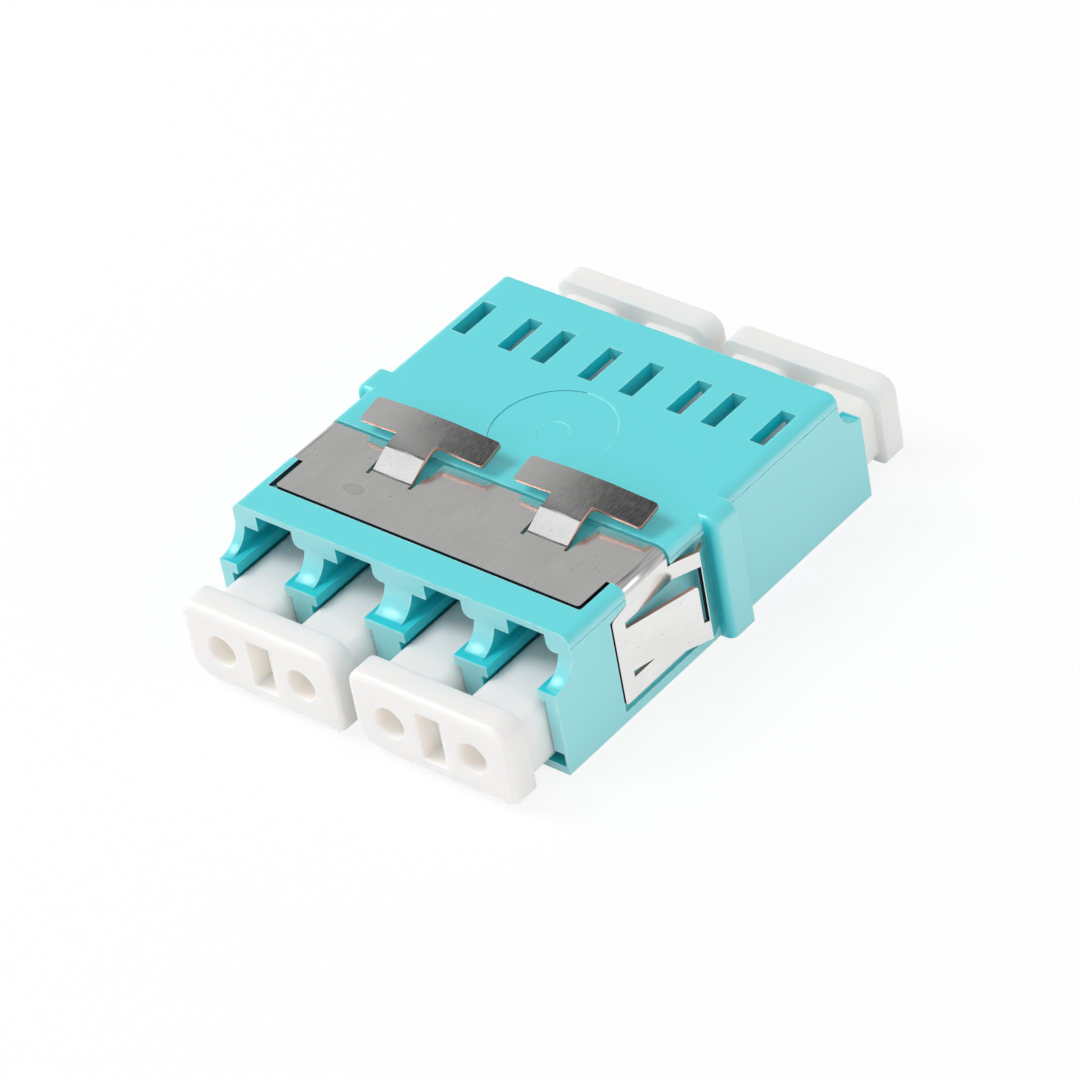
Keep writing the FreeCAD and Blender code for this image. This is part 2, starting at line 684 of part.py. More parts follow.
def clip_tab_stem(body, d, name, middle):
    """Add the stem that runs out of the top sheet and up to the head."""
    thick = d.sheet_thick
    top = d.clip_top
    half = d.stem_half_width
    root = d.slot_end - thick
    low_ramp = (d.ramp_start + thick * 0.277, top - thick)
    low_head = (d.ramp_end + thick * 0.38, d.ramp_height - thick * 0.938)
    corners = [
        (root, top), (d.ramp_start, top), (d.ramp_end, d.ramp_height),
        (d.head_rear, d.head_height),
        (d.head_rear + thick * 0.227, d.head_height - thick * 0.974),
        low_head, low_ramp, (root, top - thick)]
    slab(body, f"{name}Stem", "YZ_Plane", (middle - half, middle + half), corners)
    hollow = [(d.ramp_start, top), low_head]
    round_edges(body, f"{name}Hollows", "YZ_Plane", hollow, d.tab_bend)
    crown = [(d.ramp_end, d.ramp_height), low_ramp]
    round_edges(body, f"{name}Crowns", "YZ_Plane", crown, d.tab_bend + thick)


def clip_tab_wings(body, d, name, middle):
    """Add the two drooping wings of one tab."""
    thick = d.sheet_thick
    half = d.stem_half_width
    slope = (d.head_height - d.ramp_height) / (d.head_rear - d.ramp_end)
    wing_top = d.head_height - slope * (d.head_rear - d.wing_front)
    corners = [
        (d.wing_front, wing_top), (d.head_rear, d.head_height),
        (d.head_rear + thick * 0.227, d.head_height - thick * 0.974),
        (d.wing_front + thick * 0.227, wing_top - thick * 0.974)]
    for word, edge, width, sign in (
            ("Right", middle + half, d.wing_right, 1),
            ("Left", middle - half, d.wing_left, -1)):
        sketch = new_sketch(body, f"{name}{word}Wing", "YZ_Plane", edge)
        draw_outlines(sketch, [corners])
        wing = extrude(body, sketch, "YZ_Plane", 0, width, False)
        droop_wing(wing, sign)


def droop_wing(wing, sign):
    """Lean a wing outwards and a little down."""
    wing.UseCustomVector = True
    wing.Direction = FreeCAD.Vector(sign, 0, -WING_DROOP)
    wing.AlongSketchNormal = True
    wing.Reversed = False


def make_clip(document, d):
    """Build the panel clip from one bent sheet."""
    body = new_body(document, "panel_clip")
    clip_saddle(body, d)
    clip_trim(body, d)
    clip_side(body, d, "Right", 1)
    clip_side(body, d, "Left", -1)
    for name, middle in (("LeftTab", d.tab_left), ("RightTab", d.tab_right)):
        clip_tab_slot(body, d, name, middle)
        clip_tab_stem(body, d, name, middle)
        clip_tab_wings(body, d, name, middle)
    return body


# Dust plugs

def plug_head(body, d, middle, side):
    """Build the head of a dust plug with its uneven corners."""
    box = (middle - d.plug_half_width, middle + d.plug_half_width,
           d.plug_low, d.plug_high)
    span = end_span(d.plug_near, d.plug_far, side)
    rounds = (d.plug_round_low_right, d.plug_round_top_right,
              d.plug_round_top_left, d.plug_round_low_left)
    rounded_slab(body, "Head", "XZ_Plane", span, box, rounds)
    dress_end(body, "Chamfer", "FaceEdge", d.plug_far.value * side, d.plug_edge_bevel)


def dress_end(body, kind, name, level, size):
    """Fillet or chamfer all edges that lie at the given y level."""
    body.Document.recompute()
    names = [f"Edge{number}" for number, edge in enumerate(body.Tip.Shape.Edges, 1)
             if all(abs(v.Point.y - level) < NEAR for v in edge.Vertexes)]
    dress(body, kind, name, names, size)


def plug_openings(body, d, middle, side):
    """Cut the two blind holes and the middle slot into the head."""
    deep = end_span(d.plug_far - d.hole_depth, d.plug_far + d.cut_margin, side)
    for number, sign in enumerate((-1, 1), start=1):
        centre = (middle + d.port_pitch * (sign / 2), d.hole_height)
        rod(body, f"Hole{number}", "XZ_Plane", deep, centre, d.hole_radius, cut=True)
    corners = rectangle(middle - d.grip_half_width, middle + d.grip_half_width,
                        d.hole_height - d.grip_half_height,
                        d.hole_height + d.grip_half_height)
    slab(body, "Grip", "XZ_Plane", deep, corners, cut=True)


def plug_prong(body, d, name, middle, side):
    """Add one prong that fits a port below the latch rails."""
    half = d.port_half_width - d.prong_gap
    box = (middle - half, middle + half,
           d.port_floor + d.prong_gap, d.rail_low - d.prong_gap)
    span = end_span(d.prong_end, d.plug_near, side)
    rounded_slab(body, name, "XZ_Plane", span, box, [d.prong_round] * 4)


def make_plug(document, d, label, middle, side):
    """Build one dust plug for a pair of ports."""
    body = new_body(document, label)
    plug_head(body, d, middle, side)
    plug_openings(body, d, middle, side)
    for number, sign in enumerate((-1, 1), start=1):
        centre = middle + d.port_pitch * (sign / 2)
        plug_prong(body, d, f"Prong{number}", centre, side)
    dress_end(body, "Chamfer", "ProngEnds", d.prong_end.value * side, d.prong_lead)
    return body


def make_all(document, d):
    """Build every sub-part."""
    parts = [make_housing(document, d), make_cover(document, d)]
    parts.append(make_holder(document, d, "sleeve_holder_front", -1))
    parts.append(make_holder(document, d, "sleeve_holder_rear", 1))
    places = ("far_left", "near_left", "near_right", "far_right")
    for place, middle in zip(places, port_middles(d)):
        parts.append(make_sleeve(document, d, f"alignment_sleeve_{place}", middle))
    parts.append(make_clip(document, d))
    pair = d.port_inner + d.port_pitch / 2
    for end, side in (("front", -1), ("rear", 1)):
        for word, middle in (("left", -pair), ("right", pair)):
            label = f"dust_plug_{end}_{word}"
            parts.append(make_plug(document, d, label, middle, side))
    return parts


def write_part(body):
    """Check one body and write its step file."""
    shape = body.Shape
    if shape.isNull() or not shape.isValid():
        raise RuntimeError(f"{body.Label} has no valid shape")
    if len(shape.Solids) != 1:
        raise RuntimeError(f"{body.Label} isn't one solid")
    shape.exportStep(f"parts/{body.Label}.step")
    box = shape.BoundBox
    print(f"{body.Label}: x {box.XMin:.2f} {box.XMax:.2f} y {box.YMin:.2f} "
          f"{box.YMax:.2f} z {box.ZMin:.2f} {box.ZMax:.2f} "
          f"volume {shape.Volume:.2f}")


def main():
    """Build the document, check it and write the sub-parts."""
    document = FreeCAD.newDocument("FibreAdapter")
    sizes = Sizes(document)
    document.recompute()
    parts = make_all(document, sizes)
    document.recompute()
    faulty = [item.Name for item in document.Objects
              if "Invalid" in item.State or "Error" in item.State]
    if faulty:
        raise RuntimeError(f"features with faults: {faulty}")
    os.makedirs("parts", exist_ok=True)
    for body in parts:
        write_part(body)


main()
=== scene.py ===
"""Four-port fibre adapter with its panel clip and dust plugs, dressed for looks.

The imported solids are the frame. Sizes below are in millimetres unless they say
otherwise, and every mesh is in metres in the frame of the solids: +X to the
right along the ports, -Y at the clip end and +Z up.
"""
import logging
import math
from dataclasses import dataclass
from enum import Enum

import bmesh
import bpy
from mathutils import Matrix, Vector


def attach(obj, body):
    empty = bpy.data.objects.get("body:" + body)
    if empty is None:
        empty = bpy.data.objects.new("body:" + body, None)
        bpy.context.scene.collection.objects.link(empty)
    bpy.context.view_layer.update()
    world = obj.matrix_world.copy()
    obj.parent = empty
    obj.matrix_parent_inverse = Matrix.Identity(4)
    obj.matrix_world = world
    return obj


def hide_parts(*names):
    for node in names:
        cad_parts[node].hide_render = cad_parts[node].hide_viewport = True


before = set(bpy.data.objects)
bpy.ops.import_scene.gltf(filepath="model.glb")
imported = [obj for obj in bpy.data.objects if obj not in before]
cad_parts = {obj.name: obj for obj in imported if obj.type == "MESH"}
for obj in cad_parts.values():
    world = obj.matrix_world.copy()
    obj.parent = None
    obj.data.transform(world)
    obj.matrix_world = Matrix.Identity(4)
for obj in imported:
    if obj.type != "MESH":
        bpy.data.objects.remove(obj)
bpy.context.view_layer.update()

LOG = logging.getLogger("fibre_adapter")
MM = 0.001
PICTURE_PIXELS = 1080
JOIN_DISTANCE = 1e-7
NOISE_BAND = (0.3, 0.7)

Colour = tuple[float, float, float]
Triple = tuple[float, float, float]
Band = tuple[float, float]
Inputs = dict[str | int, object]


class End(Enum):
    """The two ends of the adapter, with the sign of their side in Y."""

    FRONT = -1
    REAR = 1


class Pair(Enum):
    """The two pairs of ports, with the sign of their side in X."""

    LEFT = -1
    RIGHT = 1


class HousingFace(Enum):
    """The material slots of the housing."""

    PLAIN = 0
    GAP = 1
    SHADED_LINE = 2
    LIT_LINE = 3
    INNER = 4


class ClipFace(Enum):
    """The material slots of the panel clip."""

    FLAT = 0
    CUT_EDGE = 1
    SUNK_EDGE = 2
    RAMP = 3
    FOLD = 4


class PlugFace(Enum):
    """The material slots of a dust plug."""

    HEAD = 0
    OPENING = 1
    PRONG = 2


# Node trees


class Graph:
    """A node tree that is written one node at a time."""

    def __init__(self, tree: bpy.types.NodeTree) -> None:
        """Start with an empty tree.

        Args:
            tree: the tree to write into; its nodes are cleared.
        """
        self.tree = tree
        tree.nodes.clear()

    def add(self, kind: str, inputs: Inputs | None = None,
            **settings: object) -> bpy.types.Node:
        """Add one node.

        Args:
            kind: Blender's name of the node's type.
            inputs: values or sockets for its inputs, by name or number.
            settings: properties of the node itself.

        Returns:
            The new node.
        """
        node = self.tree.nodes.new(kind)
        for name, value in settings.items():
            setattr(node, name, value)
        for key, value in (inputs or {}).items():
            self.feed(node.inputs[key], value)
        return node

    def group(self, tree: bpy.types.NodeTree,
              inputs: Inputs | None = None) -> bpy.types.Node:
        """Add a node of a shared group.

        Args:
            tree: the group's tree.
            inputs: values or sockets for its inputs.

        Returns:
            The new node.
        """
        return self.add("ShaderNodeGroup", inputs, node_tree=tree)

    def feed(self, socket: bpy.types.NodeSocket, value: object) -> None:
        """Give a socket a link or a value.

        Args:
            socket: the input to fill.
            value: an output socket to link, or a plain value.
        """
        if isinstance(value, bpy.types.NodeSocket):
            self.tree.links.new(value, socket)
        else:
            socket.default_value = value

    def math(self, operation: str, first: object,
             second: object = 0.5) -> bpy.types.NodeSocket:
        """Add a Math node.

        Args:
            operation: what it works out.
            first: its first value.
            second: its second value, where it has one.

        Returns:
            The socket of its value.
        """
        node = self.add("ShaderNodeMath", {0: first, 1: second}, operation=operation)
        return node.outputs[0]

    def vector(self, operation: str, first: object,
               second: object = (0.0, 0.0, 0.0)) -> bpy.types.Node:
        """Add a Vector Math node.

        Args:
            operation: what it works out.
            first: its first vector.
            second: its second vector, where it has one.

        Returns:
            The new node.
        """
        return self.add("ShaderNodeVectorMath", {0: first, 1: second},
                        operation=operation)

    def blend(self, factor: object, first: object, second: object,
              mode: str = "MIX") -> bpy.types.NodeSocket:
        """Add a colour Mix node.

        Args:
            factor: the share of the second colour.
            first: the first colour.
            second: the second colour.
            mode: how the two are mixed.

        Returns:
            The socket of its colour.
        """
        node = self.add("ShaderNodeMix", data_type="RGBA", blend_type=mode)
        self.feed(node.inputs[0], factor)
        self.feed(node.inputs[6], first)
        self.feed(node.inputs[7], second)
        return node.outputs[2]

    def spread(self, value: object, low: float, high: float,
               start: float = 0.0, end: float = 1.0) -> bpy.types.NodeSocket:
        """Map a range of values to another, with a clamp.

        Args:
            value: the value to map.
            low: the value that gives the start.
            high: the value that gives the end.
            start: the result at the low value.
            end: the result at the high value.

        Returns:
            The socket of the mapped value.
        """
        node = self.add("ShaderNodeMapRange",
                        {0: value, 1: low, 2: high, 3: start, 4: end})
        return node.outputs[0]

    def noise(self, vector: object, scale: object, detail: float = 2.0,
              roughness: float = 0.5) -> bpy.types.NodeSocket:
        """Add a Noise texture.

        Args:
            vector: where it is read.
            scale: its cells per metre.
            detail: how many finer layers it has.
            roughness: how strong the finer layers are.

        Returns:
            The socket of its value.
        """
        node = self.add("ShaderNodeTexNoise", {
            "Vector": vector, "Scale": scale, "Detail": detail,
            "Roughness": roughness})
        return node.outputs[0]

    def beyond(self, value: object, line: object) -> bpy.types.NodeSocket:
        """Return the socket of a mask: where a value's size is over a line."""
        return self.math("GREATER_THAN", self.math("ABSOLUTE", value), line)

    def place(self) -> bpy.types.NodeSocket:
        """Return the socket of the place on the object, in metres."""
        return self.add("ShaderNodeTexCoord").outputs["Object"]

    def facing(self) -> bpy.types.NodeSocket:
        """Return the socket of the surface's direction."""
        return self.add("ShaderNodeNewGeometry").outputs["Normal"]


def rgba(colour: Colour) -> tuple[float, float, float, float]:
    """Return a colour with full alpha."""
    return (*colour, 1.0)


# Shared effects


@dataclass
class Effects:
    """The shader node groups that more than one finish uses.

    A pair named layers holds a noise's detail and roughness. A pair named band
    or turn holds the values that a mask starts at and is full at.
    """

    grain_layers: Band = (3.0, 0.6)
    grain_slow: float = 0.11
    grain_share: float = 0.5
    cloud_layers: Band = (4.0, 0.55)
    cloud_band: Band = (0.35, 0.7)
    bevel_samples: int = 4
    edge_patch_scale: float = 1400.0
    edge_patch_detail: float = 3.0
    edge_patch_band: Band = (0.35, 0.6)
    edge_turn: Band = (0.985, 0.80)
    wander_scale: float = 9000.0
    wander_detail: float = 3.0
    wander_reach: Triple = (0.00022, 0.00022, 0.00022)
    drag_layers: Band = (4.0, 0.65)
    side_turn: Band = (0.85, 1.0)
    end_turn: Band = (0.55, 0.95)
    ear_turn: Band = (-0.6, -0.95)
    stain_wave_scale: float = 3000.0
    stain_wave_detail: float = 3.0
    stain_wave: float = 0.35
    stain_body: Band = (1.22, 1.12)
    stain_rim: Band = (0.85, 1.1)
    stain_middle: float = 0.55

    def __post_init__(self) -> None:
        """Build each group once."""
        self.grain = self.make_grain()
        self.mottle = self.make_mottle()
        self.worn_and_lit_edge = self.make_worn_and_lit_edge()
        self.specks = self.make_specks()
        self.drag_lines = self.make_drag_lines()
        self.sheen_and_shade = self.make_sheen_and_shade()
        self.stain = self.make_stain()

    @staticmethod
    def new_group(name: str, inputs: dict[str, tuple[str, object]],
                  outputs: dict[str, str]) -> tuple[Graph, bpy.types.Node,
                                                    bpy.types.Node]:
        """Make an empty group with named sockets.

        Args:
            name: the group's name.
            inputs: type and default value of each input.
            outputs: type of each output.

        Returns:
            The graph of the group, its input node and its output node.
        """
        tree = bpy.data.node_groups.new(name, "ShaderNodeTree")
        for label, (kind, value) in inputs.items():
            socket = tree.interface.new_socket(label, in_out="INPUT", socket_type=kind)
            socket.default_value = value
        for label, kind in outputs.items():
            tree.interface.new_socket(label, in_out="OUTPUT", socket_type=kind)
        graph = Graph(tree)
        return graph, graph.add("NodeGroupInput"), graph.add("NodeGroupOutput")

    def make_grain(self) -> bpy.types.NodeTree:
        """Make the fine even grain of a spark-eroded mould face.

        Returns:
            The group, which puts out a height.
        """
        graph, given, result = self.new_group(
            "mould_grain", {"Scale": ("NodeSocketFloat", 9000.0)},
            {"Height": "NodeSocketFloat"})
        place, scale = graph.place(), given.outputs["Scale"]
        fine = graph.noise(place, scale, *self.grain_layers)
        slow = graph.noise(place, graph.math("MULTIPLY", scale, self.grain_slow))
        total = graph.math("ADD", graph.math("MULTIPLY", fine, self.grain_share),
                           graph.math("MULTIPLY", slow, self.grain_share))
        graph.feed(result.inputs["Height"], total)
        return graph.tree

    def make_mottle(self) -> bpy.types.NodeTree:
        """Make the slow shifts of shade in a moulded colour.

        Returns:
            The group, which puts out a colour.
        """
        graph, given, result = self.new_group(
            "moulded_colour",
            {"Colour": ("NodeSocketColor", (0.5, 0.5, 0.5, 1.0)),
             "Shade": ("NodeSocketColor", (0.4, 0.4, 0.4, 1.0)),
             "Scale": ("NodeSocketFloat", 120.0),
             "Amount": ("NodeSocketFloat", 0.2)},
            {"Colour": "NodeSocketColor"})
        cloud = graph.noise(graph.place(), given.outputs["Scale"],
                            *self.cloud_layers)
        mask = graph.spread(cloud, *self.cloud_band)
        factor = graph.math("MULTIPLY", mask, given.outputs["Amount"])
        mixed = graph.blend(factor, given.outputs["Colour"], given.outputs["Shade"])
        graph.feed(result.inputs["Colour"], mixed)
        return graph.tree

    def make_worn_and_lit_edge(self) -> bpy.types.NodeTree:
        """Make a mask that is one on the edges of a piece: partly wear, partly a
        painted highlight where edges catch the light.

        Returns:
            The group, which puts out a mask.
        """
        graph, given, result = self.new_group(
            "worn_and_lit_edge", {"Radius": ("NodeSocketFloat", 0.0001)},
            {"Mask": "NodeSocketFloat"})
        rounded = graph.add("ShaderNodeBevel", {"Radius": given.outputs["Radius"]},
                            samples=self.bevel_samples)
        dot = graph.vector("DOT_PRODUCT", rounded.outputs[0], graph.facing())
        patches = graph.noise(graph.place(), self.edge_patch_scale, self.edge_patch_detail)
        broken = graph.spread(patches, *self.edge_patch_band)
        turned = graph.spread(dot.outputs["Value"], *self.edge_turn)
        graph.feed(result.inputs["Mask"], graph.math("MULTIPLY", turned, broken))
        return graph.tree

    def make_specks(self) -> bpy.types.NodeTree:
        """Make a mask of small uneven specks, scattered.

        Returns:
            The group, which puts out a mask.
        """
        graph, given, result = self.new_group(
            "specks",
            {"Scale": ("NodeSocketFloat", 2600.0), "Size": ("NodeSocketFloat", 0.1),
             "Share": ("NodeSocketFloat", 0.2)},
            {"Mask": "NodeSocketFloat"})
        place = graph.place()
        wander = graph.add("ShaderNodeTexNoise", {
            "Vector": place, "Scale": self.wander_scale,
            "Detail": self.wander_detail})
        bend = graph.vector("MULTIPLY", wander.outputs["Color"], self.wander_reach)
        bent = graph.vector("ADD", place, bend.outputs[0])
        cells = graph.add("ShaderNodeTexVoronoi", {
            "Vector": bent.outputs[0], "Scale": given.outputs["Scale"]})
        near = graph.math("LESS_THAN", cells.outputs["Distance"],
                          given.outputs["Size"])
        split = graph.add("ShaderNodeSeparateColor", {0: cells.outputs["Color"]})
        chosen = graph.math("LESS_THAN", split.outputs[0], given.outputs["Share"])
        graph.feed(result.inputs["Mask"], graph.math("MULTIPLY", near, chosen))
        return graph.tree

    def make_drag_lines(self) -> bpy.types.NodeTree:
        """Make the fine lines that rolling leaves along the sheet.

        Returns:
            The group, which puts out a value.
        """
        graph, given, result = self.new_group(
            "drag_lines",
            {"Across": ("NodeSocketFloat", 9000.0),
             "Along": ("NodeSocketFloat", 350.0)},
            {"Value": "NodeSocketFloat"})
        parts = graph.add("ShaderNodeSeparateXYZ", {0: graph.place()})
        across, along = given.outputs["Across"], given.outputs["Along"]
        stretched = graph.add("ShaderNodeCombineXYZ", {
            0: graph.math("MULTIPLY", parts.outputs[0], across),
            1: graph.math("MULTIPLY", parts.outputs[1], along),
            2: graph.math("MULTIPLY", parts.outputs[2], across)})
        graph.feed(result.inputs["Value"],
                   graph.noise(stretched.outputs[0], 1.0, *self.drag_layers))
        return graph.tree

    def make_sheen_and_shade(self) -> bpy.types.NodeTree:
        """Make masks that paint a sheen on the outer faces that look to the sides or
        the ends, and a shade on the fronts of the ears.

        Returns:
            The group, which puts out the mask of the painted sheen on the housing's
            sides and ends, and that of the painted shade on the fronts of its ears.
        """
        graph, given, result = self.new_group(
            "painted_sheen_and_ear_shade",
            {"Sides": ("NodeSocketFloat", 0.3), "Ends": ("NodeSocketFloat", 0.3),
             "Side Line": ("NodeSocketFloat", 0.0118),
             "End Line": ("NodeSocketFloat", 0.0125),
             "Ear Line": ("NodeSocketFloat", 0.01293)},
            {"Mask": "NodeSocketFloat", "Ear": "NodeSocketFloat"})
        normal = graph.add("ShaderNodeSeparateXYZ", {0: graph.facing()})
        place = graph.add("ShaderNodeSeparateXYZ", {0: graph.place()})
        shares = []
        for axis, line, amount, turn in ((0, "Side Line", "Sides", self.side_turn),
                                         (1, "End Line", "Ends", self.end_turn)):
            outside = graph.beyond(place.outputs[axis], given.outputs[line])
            facing = graph.spread(
                graph.math("ABSOLUTE", normal.outputs[axis]), *turn)
            shares.append(graph.math(
                "MULTIPLY", graph.math("MULTIPLY", facing, outside),
                given.outputs[amount]))
        graph.feed(result.inputs["Mask"], graph.math("ADD", *shares))
        on_ear = graph.beyond(place.outputs[0], given.outputs["Ear Line"])
        ahead = graph.spread(normal.outputs[1], *self.ear_turn)
        graph.feed(result.inputs["Ear"], graph.math("MULTIPLY", on_ear, ahead))
        return graph.tree

    def make_stain(self) -> bpy.types.NodeTree:
        """Make a mask of one faint oval stain with a darker rim.

        Returns:
            The group, which puts out a mask.
        """
        graph, given, result = self.new_group(
            "oval_stain",
            {"Middle": ("NodeSocketVector", (0.0, 0.0, 0.0)),
             "Stretch": ("NodeSocketVector", (1.0, 1.0, 1.0)),
             "Radius": ("NodeSocketFloat", 0.0006)},
            {"Mask": "NodeSocketFloat"})
        place = graph.place()
        away = graph.vector("SUBTRACT", place, given.outputs["Middle"])
        scaled = graph.vector("MULTIPLY", away.outputs[0], given.outputs["Stretch"])
        reach = graph.vector("LENGTH", scaled.outputs[0])
        share = graph.math("DIVIDE", reach.outputs["Value"], given.outputs["Radius"])
        ripple = graph.noise(place, self.stain_wave_scale, self.stain_wave_detail)
        wave = graph.math("MULTIPLY", ripple, self.stain_wave)
        wavy = graph.math("ADD", share, wave)
        body = graph.spread(wavy, *self.stain_body)
        rim = graph.spread(wavy, *self.stain_rim, self.stain_middle, 1.0)
        graph.feed(result.inputs["Mask"], graph.math("MULTIPLY", rim, body))
        return graph.tree


# Finishes


@dataclass(frozen=True)
class Finish:
    """What every finish has: a name and a way to make its material."""

    name: str

    def start(self) -> tuple[bpy.types.Material, Graph, bpy.types.Node]:
        """Make an empty material.

        Returns:
            The material, its graph and its main shader.
        """
        material = bpy.data.materials.new(self.name)
        material.use_nodes = True
        graph = Graph(material.node_tree)
        shader = graph.add("ShaderNodeBsdfPrincipled")
        output = graph.add("ShaderNodeOutputMaterial")
        graph.feed(output.inputs["Surface"], shader.outputs[0])
        return material, graph, shader

    def bump(self, graph: Graph, shader: bpy.types.Node, height: object,
             distance: float, strength: float) -> None:
        """Feed a height to the shader's normal.

        Args:
            graph: the material's graph.
            shader: its main shader.
            height: the socket of the height.
            distance: how far the height reaches, in metres.
            strength: how much of it shows.
        """
        bump = graph.add("ShaderNodeBump", {
            "Height": height, "Distance": distance, "Strength": strength})
        graph.feed(shader.inputs["Normal"], bump.outputs[0])


@dataclass(frozen=True)
class MouldedPlastic(Finish):
    """Injection-moulded plastic with grain, soft shades and pale edges; the pale edges
    are partly wear and partly painted highlight, and the housing also gets a painted
    sheen and painted shade.
    """

    colour: Colour
    shade: Colour
    edge: Colour
    roughness: float = 0.38
    roughness_swing: float = 0.02
    shade_amount: float = 0.25
    edge_amount: float = 0.35
    edge_radius: float = 0.00008
    grain_depth: float = 0.0000006
    grain_strength: float = 0.6
    glow: float = 0.0
    glow_radius: Colour = (1.0, 1.0, 1.0)
    glow_scale: float = 0.001
    coat: float = 0.0
    coat_roughness: float = 0.38
    refraction: float = 1.5
    # The colours below paint a sheen on the housing's sides and ends and a shade on
    # the fronts of its ears.
    pale: Colour = (0.9, 0.9, 0.9)
    ear_front_shade: Colour = (0.02, 0.60, 0.68)
    sheen_sides: float = 0.0
    sheen_ends: float = 0.0
    dirt: float = 0.0
    dirt_colour: Colour = (0.30, 0.26, 0.24)
    dirt_scale: float = 420.0
    dirt_size: float = 0.045

    def make(self, effects: Effects) -> bpy.types.Material:
        """Build the material.

        Args:
            effects: the shared node groups.

        Returns:
            The finished material.
        """
        material, graph, shader = self.start()
        mottle = graph.group(effects.mottle, {
            "Colour": rgba(self.colour), "Shade": rgba(self.shade),
            "Amount": self.shade_amount})
        # Pale edge colour: partly wear, partly a painted highlight on the edges that
        # catch the light.
        wear_and_glint = graph.group(effects.worn_and_lit_edge, {"Radius": self.edge_radius})
        factor = graph.math("MULTIPLY", wear_and_glint.outputs["Mask"], self.edge_amount)
        colour = graph.blend(factor, mottle.outputs["Colour"], rgba(self.edge))
        # Painted sheen: faces that look to the sides or ends are blended paler;
        # painted shade: the ears' fronts are blended darker.
        if self.sheen_sides > 0.0:
            sheen_and_shade = graph.group(effects.sheen_and_shade, {
                "Sides": self.sheen_sides, "Ends": self.sheen_ends})
            colour = graph.blend(sheen_and_shade.outputs["Mask"], colour, rgba(self.pale))
            colour = graph.blend(sheen_and_shade.outputs["Ear"], colour, rgba(self.ear_front_shade))
        if self.dirt > 0.0:
            specks = graph.group(effects.specks, {
                "Scale": self.dirt_scale, "Size": self.dirt_size,
                "Share": self.dirt})
            colour = graph.blend(specks.outputs["Mask"], colour,
                                 rgba(self.dirt_colour))
        graph.feed(shader.inputs["Base Color"], colour)
        grain = graph.group(effects.grain)
        rough = graph.spread(grain.outputs["Height"], *NOISE_BAND,
                             self.roughness - self.roughness_swing,
                             self.roughness + self.roughness_swing)
        graph.feed(shader.inputs["Roughness"], rough)
        graph.feed(shader.inputs["Subsurface Weight"], self.glow)
        graph.feed(shader.inputs["Subsurface Radius"], self.glow_radius)
        graph.feed(shader.inputs["Subsurface Scale"], self.glow_scale)
        graph.feed(shader.inputs["Coat Weight"], self.coat)
        graph.feed(shader.inputs["Coat Roughness"], self.coat_roughness)
        graph.feed(shader.inputs["IOR"], self.refraction)
        self.bump(graph, shader, grain.outputs["Height"], self.grain_depth,
                  self.grain_strength)
        return material


@dataclass(frozen=True)
class SheetSteel(Finish):
    """Rolled spring steel with drag lines, small dark specks and one stain."""

    colour: Colour
    shade: Colour
    speck: Colour
    roughness: float = 0.17
    roughness_swing: float = 0.04
    shade_scale: float = 500.0
    shade_amount: float = 0.5
    streak: float = 0.035
    streak_band: Band = (0.25, 0.75)
    line_depth: float = 0.0000012
    line_strength: float = 0.4
    stain: Triple = (-7.14, -8.11, 8.8)
    stain_stretch: Triple = (0.8, 1.35, 1.0)
    stain_amount: float = 0.28

    def make(self, effects: Effects) -> bpy.types.Material:
        """Build the material.

        Args:
            effects: the shared node groups.

        Returns:
            The finished material.
        """
        material, graph, shader = self.start()
        mottle = graph.group(effects.mottle, {
            "Colour": rgba(self.colour), "Shade": rgba(self.shade),
            "Scale": self.shade_scale, "Amount": self.shade_amount})
        lines = graph.group(effects.drag_lines).outputs["Value"]
        streak = graph.spread(lines, *self.streak_band,
                              1.0 - self.streak, 1.0 + self.streak)
        streaked = graph.blend(1.0, mottle.outputs["Colour"], streak, "MULTIPLY")
        specks = graph.group(effects.specks)
        colour = graph.blend(specks.outputs["Mask"], streaked, rgba(self.speck))
        stain = graph.group(effects.stain, {
            "Middle": tuple(part * MM for part in self.stain),
            "Stretch": self.stain_stretch})
        faint = graph.math("MULTIPLY", stain.outputs["Mask"], self.stain_amount)
        colour = graph.blend(faint, colour, rgba(self.speck))
        graph.feed(shader.inputs["Base Color"], colour)
        graph.feed(shader.inputs["Metallic"], 1.0)
        rough = graph.spread(lines, *NOISE_BAND,
                             self.roughness - self.roughness_swing,
                             self.roughness + self.roughness_swing)
        graph.feed(shader.inputs["Roughness"], rough)
        self.bump(graph, shader, lines, self.line_depth, self.line_strength)
        return material


@dataclass(frozen=True)
class BareSurface(Finish):
    """A bare surface of one colour with a fine grain."""

    colour: Colour
    roughness: float = 0.35
    metallic: float = 0.0
    tone: Band = (0.8, 1.1)
    grain_depth: float = 0.000003
    grain_strength: float = 0.6

    def make(self, effects: Effects) -> bpy.types.Material:
        """Build the material.

        Args:
            effects: the shared node groups.

        Returns:
            The finished material.
        """
        material, graph, shader = self.start()
        grain = graph.group(effects.grain).outputs["Height"]
        tone = graph.spread(grain, *NOISE_BAND, *self.tone)
        colour = graph.blend(1.0, rgba(self.colour), tone, "MULTIPLY")
        graph.feed(shader.inputs["Base Color"], colour)
        graph.feed(shader.inputs["Metallic"], self.metallic)
        graph.feed(shader.inputs["Roughness"], self.roughness)
        self.bump(graph, shader, grain, self.grain_depth, self.grain_strength)
        return material


@dataclass(frozen=True)
class CutMetal(BareSurface):
    """The bare cut edge of a plated sheet."""

    metallic: float = 1.0


@dataclass(frozen=True)
class FiredCeramic(BareSurface):
    """Ground ceramic of the alignment sleeves."""

    roughness: float = 0.12
    tone: Band = (0.93, 1.0)
    grain_depth: float = 0.000001
    grain_strength: float = 0.4


